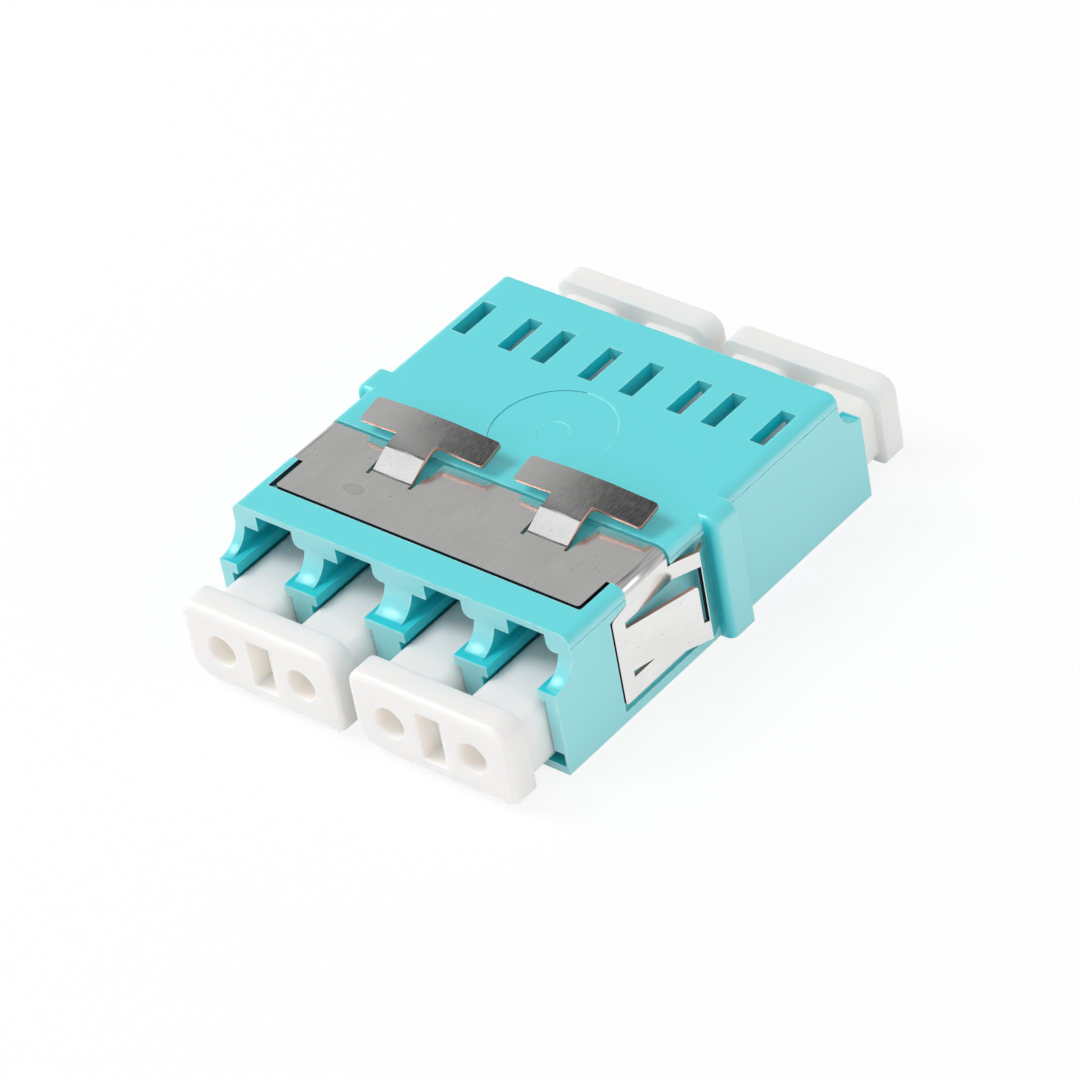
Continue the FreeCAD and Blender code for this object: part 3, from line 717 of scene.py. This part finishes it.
class Palette:
    """Every material of the adapter, made once."""

    def __init__(self, effects: Effects) -> None:
        """Make the materials.

        Args:
            effects: the shared node groups.
        """
        # The housing's near-white edge colour is mostly a painted highlight along its
        # edges.
        self.aqua = MouldedPlastic(
            "housing_aqua", colour=(0.115, 0.715, 0.765), shade=(0.10, 0.69, 0.74),
            edge=(0.75, 0.97, 0.98), roughness=0.33, edge_amount=0.9,
            edge_radius=0.00015, glow=0.05, glow_radius=(0.4, 1.0, 1.0), coat=0.5,
            refraction=1.65, pale=(0.62, 0.80, 0.80), sheen_sides=0.33,
            sheen_ends=0.35).make(effects)
        # Near-black painted shade in the gap round the clip and on the walls beside
        # its sides.
        self.gap = MouldedPlastic(
            "housing_gap", colour=(0.01, 0.05, 0.07), shade=(0.01, 0.04, 0.06),
            edge=(0.02, 0.07, 0.09), roughness=0.6, edge_amount=0.0).make(effects)
        self.shaded_line = MouldedPlastic(
            "ring_shaded", colour=(0.02, 0.38, 0.52), shade=(0.02, 0.36, 0.5),
            edge=(0.05, 0.4, 0.5), roughness=0.5, edge_amount=0.0).make(effects)
        self.lit_line = MouldedPlastic(
            "ring_lit", colour=(0.3, 0.84, 0.88), shade=(0.28, 0.82, 0.86),
            edge=(0.5, 0.9, 0.9), roughness=0.4, edge_amount=0.0).make(effects)
        # A darker, deeper aqua inside the ports: painted shade.
        self.inner = MouldedPlastic(
            "housing_inner", colour=(0.02, 0.60, 0.68), shade=(0.02, 0.57, 0.65),
            edge=(0.2, 0.8, 0.85), roughness=0.42, edge_amount=0.2, coat=0.1,
            refraction=1.45).make(effects)
        self.steel = SheetSteel(
            "clip_steel", colour=(0.86, 0.855, 0.85), shade=(0.76, 0.755, 0.75),
            speck=(0.36, 0.35, 0.34)).make(effects)
        self.copper = CutMetal("clip_cut_edge", colour=(0.55, 0.34, 0.27),
                               roughness=0.5).make(effects)
        # Near-black on the low cut edges at the front and sides: painted shade of the
        # gap beside them.
        self.sunk = CutMetal("clip_sunk_edge", colour=(0.03, 0.03, 0.04),
                             roughness=0.6).make(effects)
        # A much darker copy of the clip steel for the ramps: painted shade.
        self.bent = SheetSteel(
            "clip_ramp_steel_painted_shade", colour=(0.22, 0.22, 0.22), shade=(0.17, 0.17, 0.17),
            speck=(0.08, 0.08, 0.08), roughness=0.42, streak=0.3).make(effects)
        # A darker copy of the clip steel along the folds: painted shade.
        self.fold_shade = SheetSteel(
            "clip_fold_steel_painted_shade", colour=(0.60, 0.60, 0.60), shade=(0.48, 0.48, 0.48),
            speck=(0.3, 0.3, 0.3), roughness=0.2, streak=0.35).make(effects)
        self.white = MouldedPlastic(
            "plug_white", colour=(0.865, 0.855, 0.85), shade=(0.84, 0.83, 0.82),
            edge=(0.9, 0.9, 0.9), roughness=0.42, glow=0.6,
            glow_radius=(1.5, 1.2, 1.0), edge_amount=0.1, dirt=0.05).make(effects)
        # Paler, warmer white inside the holes and slot than on the head: painted
        # light.
        self.hole_light = MouldedPlastic(
            "plug_hole_painted_light", colour=(1.0, 0.95, 0.90), shade=(0.99, 0.94, 0.88),
            edge=(0.95, 0.9, 0.85), roughness=0.5, glow=0.7,
            glow_radius=(1.8, 1.3, 1.0), edge_amount=0.1).make(effects)
        # Prongs paler than the head: painted light against the ports' shade; the dirt
        # specks on them are real.
        self.prong = MouldedPlastic(
            "plug_prong", colour=(0.96, 0.91, 0.90), shade=(0.94, 0.89, 0.88),
            edge=(0.9, 0.9, 0.9), roughness=0.42, glow=0.6,
            glow_radius=(1.8, 1.3, 1.1), edge_amount=0.1, dirt=0.12).make(effects)
        self.ceramic = FiredCeramic(
            "sleeve_ceramic", colour=(0.86, 0.84, 0.80)).make(effects)

    def for_housing(self) -> list[bpy.types.Material]:
        """Return the finishes of the housing, in the order of HousingFace."""
        return [self.aqua, self.gap, self.shaded_line, self.lit_line, self.inner]

    def for_clip(self) -> list[bpy.types.Material]:
        """Return the finishes of the panel clip, in the order of ClipFace."""
        return [self.steel, self.copper, self.sunk, self.bent, self.fold_shade]

    def for_plug(self) -> list[bpy.types.Material]:
        """Return the finishes of a dust plug, in the order of PlugFace."""
        return [self.white, self.hole_light, self.prong]


# Pieces


def middle_of(face: bmesh.types.BMFace) -> Vector:
    """Return the middle of a face, in millimetres."""
    return face.calc_center_median() / MM


def bevel_edges(mesh: bmesh.types.BMesh, edges: list[bmesh.types.BMEdge],
                size: float, segments: int, clamp: bool = True) -> None:
    """Bevel some edges of a mesh.

    Args:
        mesh: the mesh that has the edges.
        edges: the edges.
        size: how far the bevel reaches, in millimetres.
        segments: how many faces the bevel has across.
        clamp: whether bevels stop where they would overlap.
    """
    bmesh.ops.bevel(
        mesh, geom=edges, offset=size * MM, offset_type="OFFSET",
        segments=segments, profile=0.5, affect="EDGES", clamp_overlap=clamp,
        material=-1)


@dataclass
class Dressed:
    """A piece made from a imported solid, with rounded edges and its finish."""

    node: str
    body: str
    slot: str
    bevel: float = 0.05
    segments: int = 2
    sharp_angle: float = 28.0
    crease: float = 60.0
    flat_angle: float = 0.4
    face_weight: int = 60

    def shell(self) -> bmesh.types.BMesh:
        """Join the triangles of the solid into whole flat faces.

        Returns:
            The solid as one closed mesh.
        """
        mesh = bmesh.new()
        mesh.from_mesh(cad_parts[self.node].data)
        bmesh.ops.remove_doubles(mesh, verts=mesh.verts, dist=JOIN_DISTANCE)
        bmesh.ops.dissolve_limit(
            mesh, angle_limit=math.radians(self.flat_angle), verts=mesh.verts,
            edges=mesh.edges, use_dissolve_boundaries=False, delimit=set())
        return mesh

    def sharp_edges(self, mesh: bmesh.types.BMesh) -> list[bmesh.types.BMEdge]:
        """Find the edges that the solid turns sharply at.

        Args:
            mesh: the mesh to look through.

        Returns:
            The sharp edges, in the order of the mesh.
        """
        limit = math.radians(self.sharp_angle)
        return [edge for edge in mesh.edges
                if len(edge.link_faces) == 2 and edge.calc_face_angle() > limit]

    def finish_faces(self, mesh: bmesh.types.BMesh) -> None:
        """Choose the finish of each face; one finish is the rule."""

    def round_edges(self, mesh: bmesh.types.BMesh) -> None:
        """Bevel the sharp edges of a mesh a little."""
        bevel_edges(mesh, self.sharp_edges(mesh), self.bevel, self.segments)

    def shade(self, mesh: bmesh.types.BMesh) -> None:
        """Shade a mesh smoothly, apart from the edges past the crease angle.

        Args:
            mesh: the mesh to shade.
        """
        mesh.normal_update()
        for face in mesh.faces:
            face.smooth = True
        limit = math.radians(self.crease)
        for edge in mesh.edges:
            edge.smooth = edge.calc_face_angle(0.0) < limit

    def build(self, finishes: list[bpy.types.Material]) -> bpy.types.Object:
        """Make the piece and put it in place of its solid.

        Args:
            finishes: the materials of the piece's slots.

        Returns:
            The new object.
        """
        mesh = self.shell()
        self.finish_faces(mesh)
        self.round_edges(mesh)
        self.shade(mesh)
        data = bpy.data.meshes.new(f"{self.node}_dressed")
        mesh.to_mesh(data)
        mesh.free()
        piece = bpy.data.objects.new(f"{self.node}_dressed", data)
        bpy.context.scene.collection.objects.link(piece)
        for material in finishes:
            data.materials.append(material)
        weighted = piece.modifiers.new("flat_faces", "WEIGHTED_NORMAL")
        weighted.weight = self.face_weight
        weighted.keep_sharp = True
        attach(piece, self.body)
        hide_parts(self.node)
        LOG.info("%s: %d faces", piece.name, len(data.polygons))
        return piece


@dataclass
class Housing(Dressed):
    """The moulded housing.

    The places name lines of the solid. A face runs along an axis where its
    normal's share of that axis is under the value named along.
    """

    node: str = "housing"
    body: str = "adapter"
    slot: str = "housing_plastic"
    bevel: float = 0.06
    fine_bevel: float = 0.03
    top: float = 8.85
    near: float = 0.02
    along: float = 0.3
    recess_front: float = -10.35
    recess_half_width: float = 11.95
    recess_depth: float = 0.3
    side_recess: float = 12.6
    side_recess_front: float = -9.15
    flange_front: float = -0.37
    upward: float = 0.5
    inner_half_width: float = 12.4
    inner_half_length: float = 14.4
    inner_low: float = 0.3
    inner_high: float = 8.5
    disc_middle: float = 1.85
    disc_radius: float = 3.95
    disc_depth: float = 0.2
    disc_margin: float = 0.1
    disc_level: float = 0.97
    shaded_up_to: float = -0.5
    lit_from: float = -8.0
    lit_depth: float = 0.1
    lit_tilt: Band = (0.3, 0.95)
    ear_line: float = 13.6
    ear_rear: float = 2.0

    def in_gap(self, face: bmesh.types.BMFace) -> bool:
        """Tell whether a face is a wall of the gap round the clip.

        Args:
            face: the face to look at.

        Returns:
            Whether it is one.
        """
        centre, normal = middle_of(face), face.normal
        high = self.top - self.recess_depth < centre.z < self.top - self.near
        front = abs(centre.y - self.recess_front) < self.near
        side = abs(abs(centre.x) - self.recess_half_width) < self.near
        beside = (abs(centre.x) > self.side_recess + self.near
                  and self.side_recess_front - self.near < centre.y < self.flange_front
                  and abs(normal.x) < self.along and normal.z < self.upward)
        return (high and (front or side)) or beside

    def in_port(self, face: bmesh.types.BMFace) -> bool:
        """Tell whether a face is a wall inside the housing.

        Args:
            face: the face to look at.

        Returns:
            Whether it is one.
        """
        centre = middle_of(face)
        return (abs(face.normal.y) < self.along
                and abs(centre.x) < self.inner_half_width
                and self.inner_low < centre.z < self.inner_high
                and abs(centre.y) < self.inner_half_length)

    def on_disc(self, edge: bmesh.types.BMEdge) -> bool:
        """Tell whether an edge belongs to the shallow disc or its gate mark.

        Args:
            edge: the edge to look at.

        Returns:
            Whether it does.
        """
        middle = (edge.verts[0].co + edge.verts[1].co) / 2 / MM
        reach = math.hypot(middle.x, middle.y - self.disc_middle)
        return (middle.z > self.top - self.disc_depth
                and reach < self.disc_radius + self.disc_margin)

    def is_ring(self, face: bmesh.types.BMFace) -> bool:
        """Tell whether a face belongs to the rounded rim of the shallow disc.

        Args:
            face: the face to look at.

        Returns:
            Whether it does.
        """
        centre = middle_of(face)
        reach = math.hypot(centre.x, centre.y - self.disc_middle)
        return (centre.z > self.top - self.disc_depth
                and abs(reach - self.disc_radius) < self.disc_margin
                and face.normal.z < self.disc_level)

    def is_lit(self, face: bmesh.types.BMFace) -> bool:
        """Tell whether a face rounds an edge that shows as a pale line.

        Args:
            face: the face to look at.

        Returns:
            Whether it does.
        """
        centre, normal = middle_of(face), face.normal
        low, high = self.lit_tilt
        top_edge = (normal.y < -self.along and low < normal.z < high
                    and centre.z > self.top - self.lit_depth
                    and centre.y > self.lit_from
                    and abs(centre.x) < self.inner_half_width)
        ear_edge = (normal.y > self.along and abs(normal.x) > self.along
                    and abs(centre.x) > self.ear_line and centre.y < self.ear_rear)
        return top_edge or ear_edge

    def finish_faces(self, mesh: bmesh.types.BMesh) -> None:
        """Give the gap round the clip and the insides of the ports darker finishes, as
        painted shade.

        Args:
            mesh: the mesh of the housing.
        """
        for face in mesh.faces:
            # The gap's walls get the near-black painted shade.
            if self.in_gap(face):
                face.material_index = HousingFace.GAP.value
            # Walls inside the ports get the darker aqua, a painted shade.
            elif self.in_port(face):
                face.material_index = HousingFace.INNER.value

    def round_edges(self, mesh: bmesh.types.BMesh) -> None:
        """Bevel the disc's edges finely and the others as usual.

        The rim of the disc and the edges that catch the light get the finish
        of their lines here, because their faces come with the bevels.

        Args:
            mesh: the mesh of the housing.
        """
        fine, plain = [], []
        for edge in self.sharp_edges(mesh):
            (fine if self.on_disc(edge) else plain).append(edge)
        bevel_edges(mesh, fine, self.fine_bevel, self.segments)
        mesh.normal_update()
        lines = (HousingFace.SHADED_LINE.value, HousingFace.LIT_LINE.value)
        for face in mesh.faces:
            if self.is_ring(face):
                shaded = middle_of(face).x < self.shaded_up_to
                face.material_index = lines[0] if shaded else lines[1]
        plain = [edge for edge in plain if edge.is_valid]
        bevel_edges(mesh, plain, self.bevel, self.segments)
        mesh.normal_update()
        for face in mesh.faces:
            if face.material_index not in lines and self.is_lit(face):
                face.material_index = HousingFace.LIT_LINE.value


@dataclass
class PanelClip(Dressed):
    """The panel clip, with the bare metal showing on its cut edges."""

    node: str = "panel_clip"
    body: str = "adapter"
    slot: str = "clip_steel"
    bevel: float = 0.014
    segments: int = 1
    sheet: float = 0.25
    near: float = 0.01
    corner_round: float = 0.22
    corner_segments: int = 4
    corner_turn: float = 60.0
    corner_length: float = 1.2
    corner_room: float = 2.5
    cut_width: float = 1.15
    cut_turn: float = 50.0
    tongue_half_width: float = 11.9
    tongue_inset: float = 0.28
    wrap_front: float = -7.55
    bend_start: float = 12.18
    bend_low: float = 7.7
    bend_tilt: float = 0.3
    leaf_low: float = 2.75
    leaf_lift: float = 0.14
    front: float = -10.1
    front_margin: float = 0.3
    front_tilt: float = 0.7
    ramp_front: float = -6.6
    ramp_rear: float = -4.5
    ramp_low: float = 7.0
    ramp_tilt: float = 0.12
    head_low: float = 9.5

    def shell(self) -> bmesh.types.BMesh:
        """Widen the slits under the leaves and move the front corners in.

        Returns:
            The clip as one closed mesh.
        """
        mesh = super().shell()
        for vert in mesh.verts:
            if abs(vert.co.z / MM - self.leaf_low) < self.near:
                vert.co.z += self.leaf_lift * MM
            beside = abs(abs(vert.co.x) / MM - self.tongue_half_width) < self.near
            if beside and vert.co.y < (self.wrap_front + self.near) * MM:
                vert.co.x -= math.copysign(self.tongue_inset * MM, vert.co.x)
        return mesh

    def is_cut(self, face: bmesh.types.BMFace) -> bool:
        """Tell whether a face is a cut edge, as narrow as the sheet is thick.

        Args:
            face: the face to look at.

        Returns:
            Whether it is one.
        """
        width = 2.0 * face.calc_area() / face.calc_perimeter() / MM
        limit = math.radians(self.cut_turn)
        long_edges = sorted(face.edges, key=lambda edge: -edge.calc_length())[:2]
        return width < self.sheet * self.cut_width and all(
            edge.calc_face_angle(0.0) > limit for edge in long_edges)

    def is_corner(self, edge: bmesh.types.BMEdge) -> bool:
        """Tell whether an edge is a free corner of the sheet with room to round.

        Args:
            edge: the edge to look at.

        Returns:
            Whether it is one.
        """
        cuts = (ClipFace.CUT_EDGE.value, ClipFace.SUNK_EDGE.value)
        room = self.corner_room * self.corner_round * MM
        return (len(edge.link_faces) == 2 and edge.is_convex
                and edge.calc_length() < self.sheet * self.corner_length * MM
                and edge.calc_face_angle() > math.radians(self.corner_turn)
                and all(face.material_index in cuts for face in edge.link_faces)
                and all(max(side.calc_length() for side in face.edges) > room
                        for face in edge.link_faces))

    def finish_faces(self, mesh: bmesh.types.BMesh) -> None:
        """Tell cut edges, sunk edges, ramps and folds apart; the sunk edges, ramps and
        folds get darker finishes as painted shade.

        Args:
            mesh: the mesh of the clip.
        """
        for face in mesh.faces:
            centre, normal = middle_of(face), face.normal
            # Low cut edges that face the front get the near-black painted shade.
            sunk = centre.z < self.head_low and (
                normal.y < -self.front_tilt or centre.y < self.ramp_front)
            if self.is_cut(face):
                kind = ClipFace.SUNK_EDGE if sunk else ClipFace.CUT_EDGE
                face.material_index = kind.value
            # Ramps get the darker steel, a painted shade.
            elif (self.ramp_front < centre.y < self.ramp_rear
                  and abs(normal.y) > self.ramp_tilt and centre.z > self.ramp_low):
                face.material_index = ClipFace.RAMP.value
            # Folds get the darker steel, a painted shade.
            elif (abs(centre.x) > self.bend_start and centre.z > self.bend_low
                  and abs(normal.y) < self.bend_tilt):
                face.material_index = ClipFace.FOLD.value

    def round_edges(self, mesh: bmesh.types.BMesh) -> None:
        """Round the sheet's corners, then bevel all but the front edges.

        Args:
            mesh: the mesh of the clip.
        """
        corners = [edge for edge in mesh.edges if self.is_corner(edge)]
        bevel_edges(mesh, corners, self.corner_round, self.corner_segments,
                    clamp=False)
        behind = (self.front + self.front_margin) * MM
        sharp = [edge for edge in self.sharp_edges(mesh)
                 if max(vert.co.y for vert in edge.verts) > behind]
        bevel_edges(mesh, sharp, self.bevel, self.segments)


@dataclass
class DustPlug(Dressed):
    """A dust plug for one pair of ports."""

    end: End = End.FRONT
    pair: Pair = Pair.LEFT
    slot: str = "plug_plastic"
    bevel: float = 0.09
    segments: int = 3
    pair_middle: float = 6.535
    hole_spread: float = 3.125
    hole_radius: float = 1.07
    hole_height: float = 3.07
    slot_half_width: float = 0.9
    slot_half_height: float = 1.74
    opening_margin: float = 0.02
    opening_depth: float = 0.05
    rim_margin: float = 0.25
    outer_face: float = 18.7
    head_thickness: float = 1.9
    near: float = 0.01
    chamfer: float = 0.12
    soft_round: float = 0.38
    soft_depths: tuple[float, ...] = (0.015, 0.05, 0.19, 0.28, 0.38)
    least_sideways: float = 0.05

    def depth(self, place: Vector) -> float:
        """Return how far a point lies behind the head's outer face."""
        return self.outer_face - abs(place.y) / MM

    def in_opening(self, place: Vector, margin: float) -> bool:
        """Tell whether a point lies in a hole or in the middle slot.

        Args:
            place: the point, in metres.
            margin: how much wider the openings are taken, in millimetres.

        Returns:
            Whether it lies in one.
        """
        x = place.x / MM - self.pair.value * self.pair_middle
        z = place.z / MM - self.hole_height
        in_slot = (abs(x) < self.slot_half_width + margin
                   and abs(z) < self.slot_half_height + margin)
        reach = math.hypot(abs(x) - self.hole_spread, z)
        return in_slot or reach < self.hole_radius + margin

    def finish_faces(self, mesh: bmesh.types.BMesh) -> None:
        """Tell the openings and the prongs from the head; both get a paler white than
        the head, as painted light.

        Args:
            mesh: the mesh of the plug.
        """
        for face in mesh.faces:
            centre = face.calc_center_median()
            depth = self.depth(centre)
            # Prongs get the paler white, painted light.
            if depth > self.head_thickness - self.near:
                face.material_index = PlugFace.PRONG.value
            # Openings get the paler white, painted light.
            elif (depth > self.opening_depth
                  and self.in_opening(centre, self.opening_margin)):
                face.material_index = PlugFace.OPENING.value

    def round_edges(self, mesh: bmesh.types.BMesh) -> None:
        """Bevel the sharp edges, then soften the head's outer edge.

        Args:
            mesh: the mesh of the plug.
        """
        super().round_edges(mesh)
        self.cut_levels(mesh)
        self.soften_head(mesh)

    def cut_levels(self, mesh: bmesh.types.BMesh) -> None:
        """Cut rings into the head's side, for its outer edge to curve along.

        Args:
            mesh: the mesh of the plug.
        """
        for depth in self.soft_depths:
            height = self.end.value * (self.outer_face - depth) * MM
            bmesh.ops.bisect_plane(
                mesh, geom=[*mesh.verts, *mesh.edges, *mesh.faces],
                dist=JOIN_DISTANCE, plane_co=Vector((0.0, height, 0.0)),
                plane_no=(0.0, 1.0, 0.0))
        mesh.normal_update()

    def soften_head(self, mesh: bmesh.types.BMesh) -> None:
        """Draw the head's outer edge in along a quarter of a circle.

        Args:
            mesh: the mesh of the plug.
        """
        moves = []
        for vert in mesh.verts:
            depth = self.depth(vert.co)
            flat = Vector((vert.normal.x, 0.0, vert.normal.z))
            if (depth > self.soft_round or self.in_opening(vert.co, self.rim_margin)
                    or flat.length < self.least_sideways):
                continue
            reach = self.soft_round - depth
            wanted = self.soft_round - math.sqrt(self.soft_round ** 2 - reach ** 2)
            present = max(self.chamfer - depth, 0.0)
            moves.append((vert, flat.normalized() * (present - wanted) * MM))
        for vert, move in moves:
            vert.co += move


@dataclass
class Inside:
    """The solids inside, which keep their own mesh and only get a finish."""

    sleeve: str = "alignment_sleeve"
    mouldings: tuple[str, ...] = (
        "bottom_cover", "sleeve_holder_front", "sleeve_holder_rear")

    def dress(self, moulded: bpy.types.Material, fired: bpy.types.Material) -> None:
        """Give each solid its finish.

        Args:
            moulded: the finish of the lid and the sleeve holders.
            fired: the finish of the sleeves.
        """
        for name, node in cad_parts.items():
            if name.startswith(self.sleeve):
                material = fired
            elif name in self.mouldings:
                material = moulded
            else:
                continue
            node.data.materials.clear()
            node.data.materials.append(material)
            LOG.info("%s: %s", name, material.name)


# Surroundings


@dataclass(frozen=True)
class Lamp:
    """A square lamp that faces the part, in metres and watts."""

    name: str
    place: Triple
    size: float
    power: float

    def hang(self) -> None:
        """Hang the lamp in its place."""
        light = bpy.data.lights.new(self.name, "AREA")
        light.size = self.size
        light.energy = self.power
        lamp = bpy.data.objects.new(self.name, light)
        lamp.location = self.place
        away = -Vector(self.place)
        lamp.rotation_euler = away.to_track_quat("-Z", "Y").to_euler()
        bpy.context.scene.collection.objects.link(lamp)


@dataclass
class Studio:
    """The floor, the lamps, the world and the camera."""

    camera_place: Triple = (0.1926346, -0.1868526, 0.2112499)
    camera_right: Triple = (0.7659670, 0.6251785, -0.1498210)
    camera_up: Triple = (-0.3022853, 0.5559218, 0.7743220)
    camera_back: Triple = (0.5673783, -0.5478164, 0.6147992)
    camera_reach: Band = (0.01, 20.0)
    focal_pixels: float = 5719.4
    sensor_width: float = 36.0
    floor_gap: float = 0.02
    floor_half_width: float = 3.0
    floor_colour: Colour = (0.95, 0.95, 0.95)
    floor_white: float = 0.85
    dark_side: Triple = (-0.42, 0.20, 0.885)
    dark_bands: tuple[tuple[float, float, float, float], ...] = (
        (0.9925, 0.962, 0.025, 0.50), (0.95, 0.905, 0.0, -0.07),
        (0.90, 0.78, 0.0, 0.22))
    lamps: tuple[Lamp, ...] = (
        Lamp("key_lamp", (-0.45, -0.21, 0.62), 0.34, 3.0),
        Lamp("front_lamp", (-0.05, -0.85, 0.35), 0.6, 0.7),
        Lamp("side_lamp", (0.8, 0.1, 0.3), 0.5, 1.0))

    def floor(self) -> None:
        """Lay a plain white floor that keeps a soft shadow, clear from below."""
        mesh = bmesh.new()
        drop = Matrix.Translation((0.0, 0.0, -self.floor_gap * MM))
        bmesh.ops.create_grid(mesh, x_segments=1, y_segments=1,
                              size=self.floor_half_width, matrix=drop)
        data = bpy.data.meshes.new("floor")
        mesh.to_mesh(data)
        mesh.free()
        floor = bpy.data.objects.new("floor", data)
        bpy.context.scene.collection.objects.link(floor)
        data.materials.append(self.floor_material())

    def floor_material(self) -> bpy.types.Material:
        """Make the white of the floor.

        Returns:
            The finished material.
        """
        material = bpy.data.materials.new("floor_white")
        material.use_nodes = True
        graph = Graph(material.node_tree)
        white = graph.add("ShaderNodeBsdfDiffuse", {"Color": rgba(self.floor_colour)})
        glow = graph.add("ShaderNodeEmission", {"Strength": 1.0})
        path = graph.add("ShaderNodeLightPath")
        seen = graph.math("MAXIMUM", path.outputs["Is Camera Ray"],
                          path.outputs["Is Glossy Ray"])
        seen = graph.math("MAXIMUM", seen, path.outputs["Is Transmission Ray"])
        mixed = graph.add("ShaderNodeMixShader", {
            0: graph.math("MULTIPLY", seen, self.floor_white),
            1: white.outputs[0], 2: glow.outputs[0]})
        back = graph.add("ShaderNodeNewGeometry").outputs["Backfacing"]
        clear = graph.add("ShaderNodeBsdfTransparent")
        shown = graph.add("ShaderNodeMixShader", {
            0: back, 1: mixed.outputs[0], 2: clear.outputs[0]})
        output = graph.add("ShaderNodeOutputMaterial")
        graph.feed(output.inputs["Surface"], shown.outputs[0])
        return material

    def world(self) -> None:
        """Fill the surroundings with white that is dark high up behind.

        The dark side is made of three bands, one outside the other. Each maps
        how closely a direction agrees with the dark side to some brightness.
        """
        world = bpy.data.worlds.new("studio")
        bpy.context.scene.world = world
        world.use_nodes = True
        graph = Graph(world.node_tree)
        direction = graph.add("ShaderNodeTexCoord").outputs["Generated"]
        dark = Vector(self.dark_side).normalized()
        dot = graph.vector("DOT_PRODUCT", direction, tuple(dark))
        near, ring, far = (graph.spread(dot.outputs["Value"], *band)
                           for band in self.dark_bands)
        away = graph.math("ADD", graph.math("ADD", near, ring), far)
        path = graph.add("ShaderNodeLightPath")
        strength = graph.math("MAXIMUM", away, path.outputs["Is Camera Ray"])
        back = graph.add("ShaderNodeBackground", {
            "Color": rgba((1.0, 1.0, 1.0)), "Strength": strength})
        output = graph.add("ShaderNodeOutputWorld")
        graph.feed(output.inputs["Surface"], back.outputs[0])

    def camera(self) -> None:
        """Put the camera where the photograph was taken from."""
        data = bpy.data.cameras.new("camera")
        data.sensor_width = self.sensor_width
        data.lens = self.focal_pixels / PICTURE_PIXELS * self.sensor_width
        data.clip_start, data.clip_end = self.camera_reach
        camera = bpy.data.objects.new("camera", data)
        turn = Matrix((self.camera_right, self.camera_up,
                       self.camera_back)).transposed()
        camera.matrix_world = Matrix.Translation(self.camera_place) @ turn.to_4x4()
        bpy.context.scene.collection.objects.link(camera)
        bpy.context.scene.camera = camera

    def build(self) -> None:
        """Set up everything round the part."""
        self.floor()
        self.world()
        for lamp in self.lamps:
            lamp.hang()
        self.camera()
        bpy.context.scene.view_settings.view_transform = "Standard"


def main() -> None:
    """Build the studio and every piece in order."""
    logging.basicConfig(level=logging.INFO)
    Studio().build()
    palette = Palette(Effects())
    Housing().build(palette.for_housing())
    PanelClip().build(palette.for_clip())
    for end in End:
        for pair in Pair:
            word = f"{end.name.lower()}_{pair.name.lower()}"
            DustPlug(node=f"dust_plug_{word}", body=f"plug_{word}", end=end,
                     pair=pair).build(palette.for_plug())
    Inside().dress(palette.aqua, palette.ceramic)


if __name__ == "__main__":
    main()
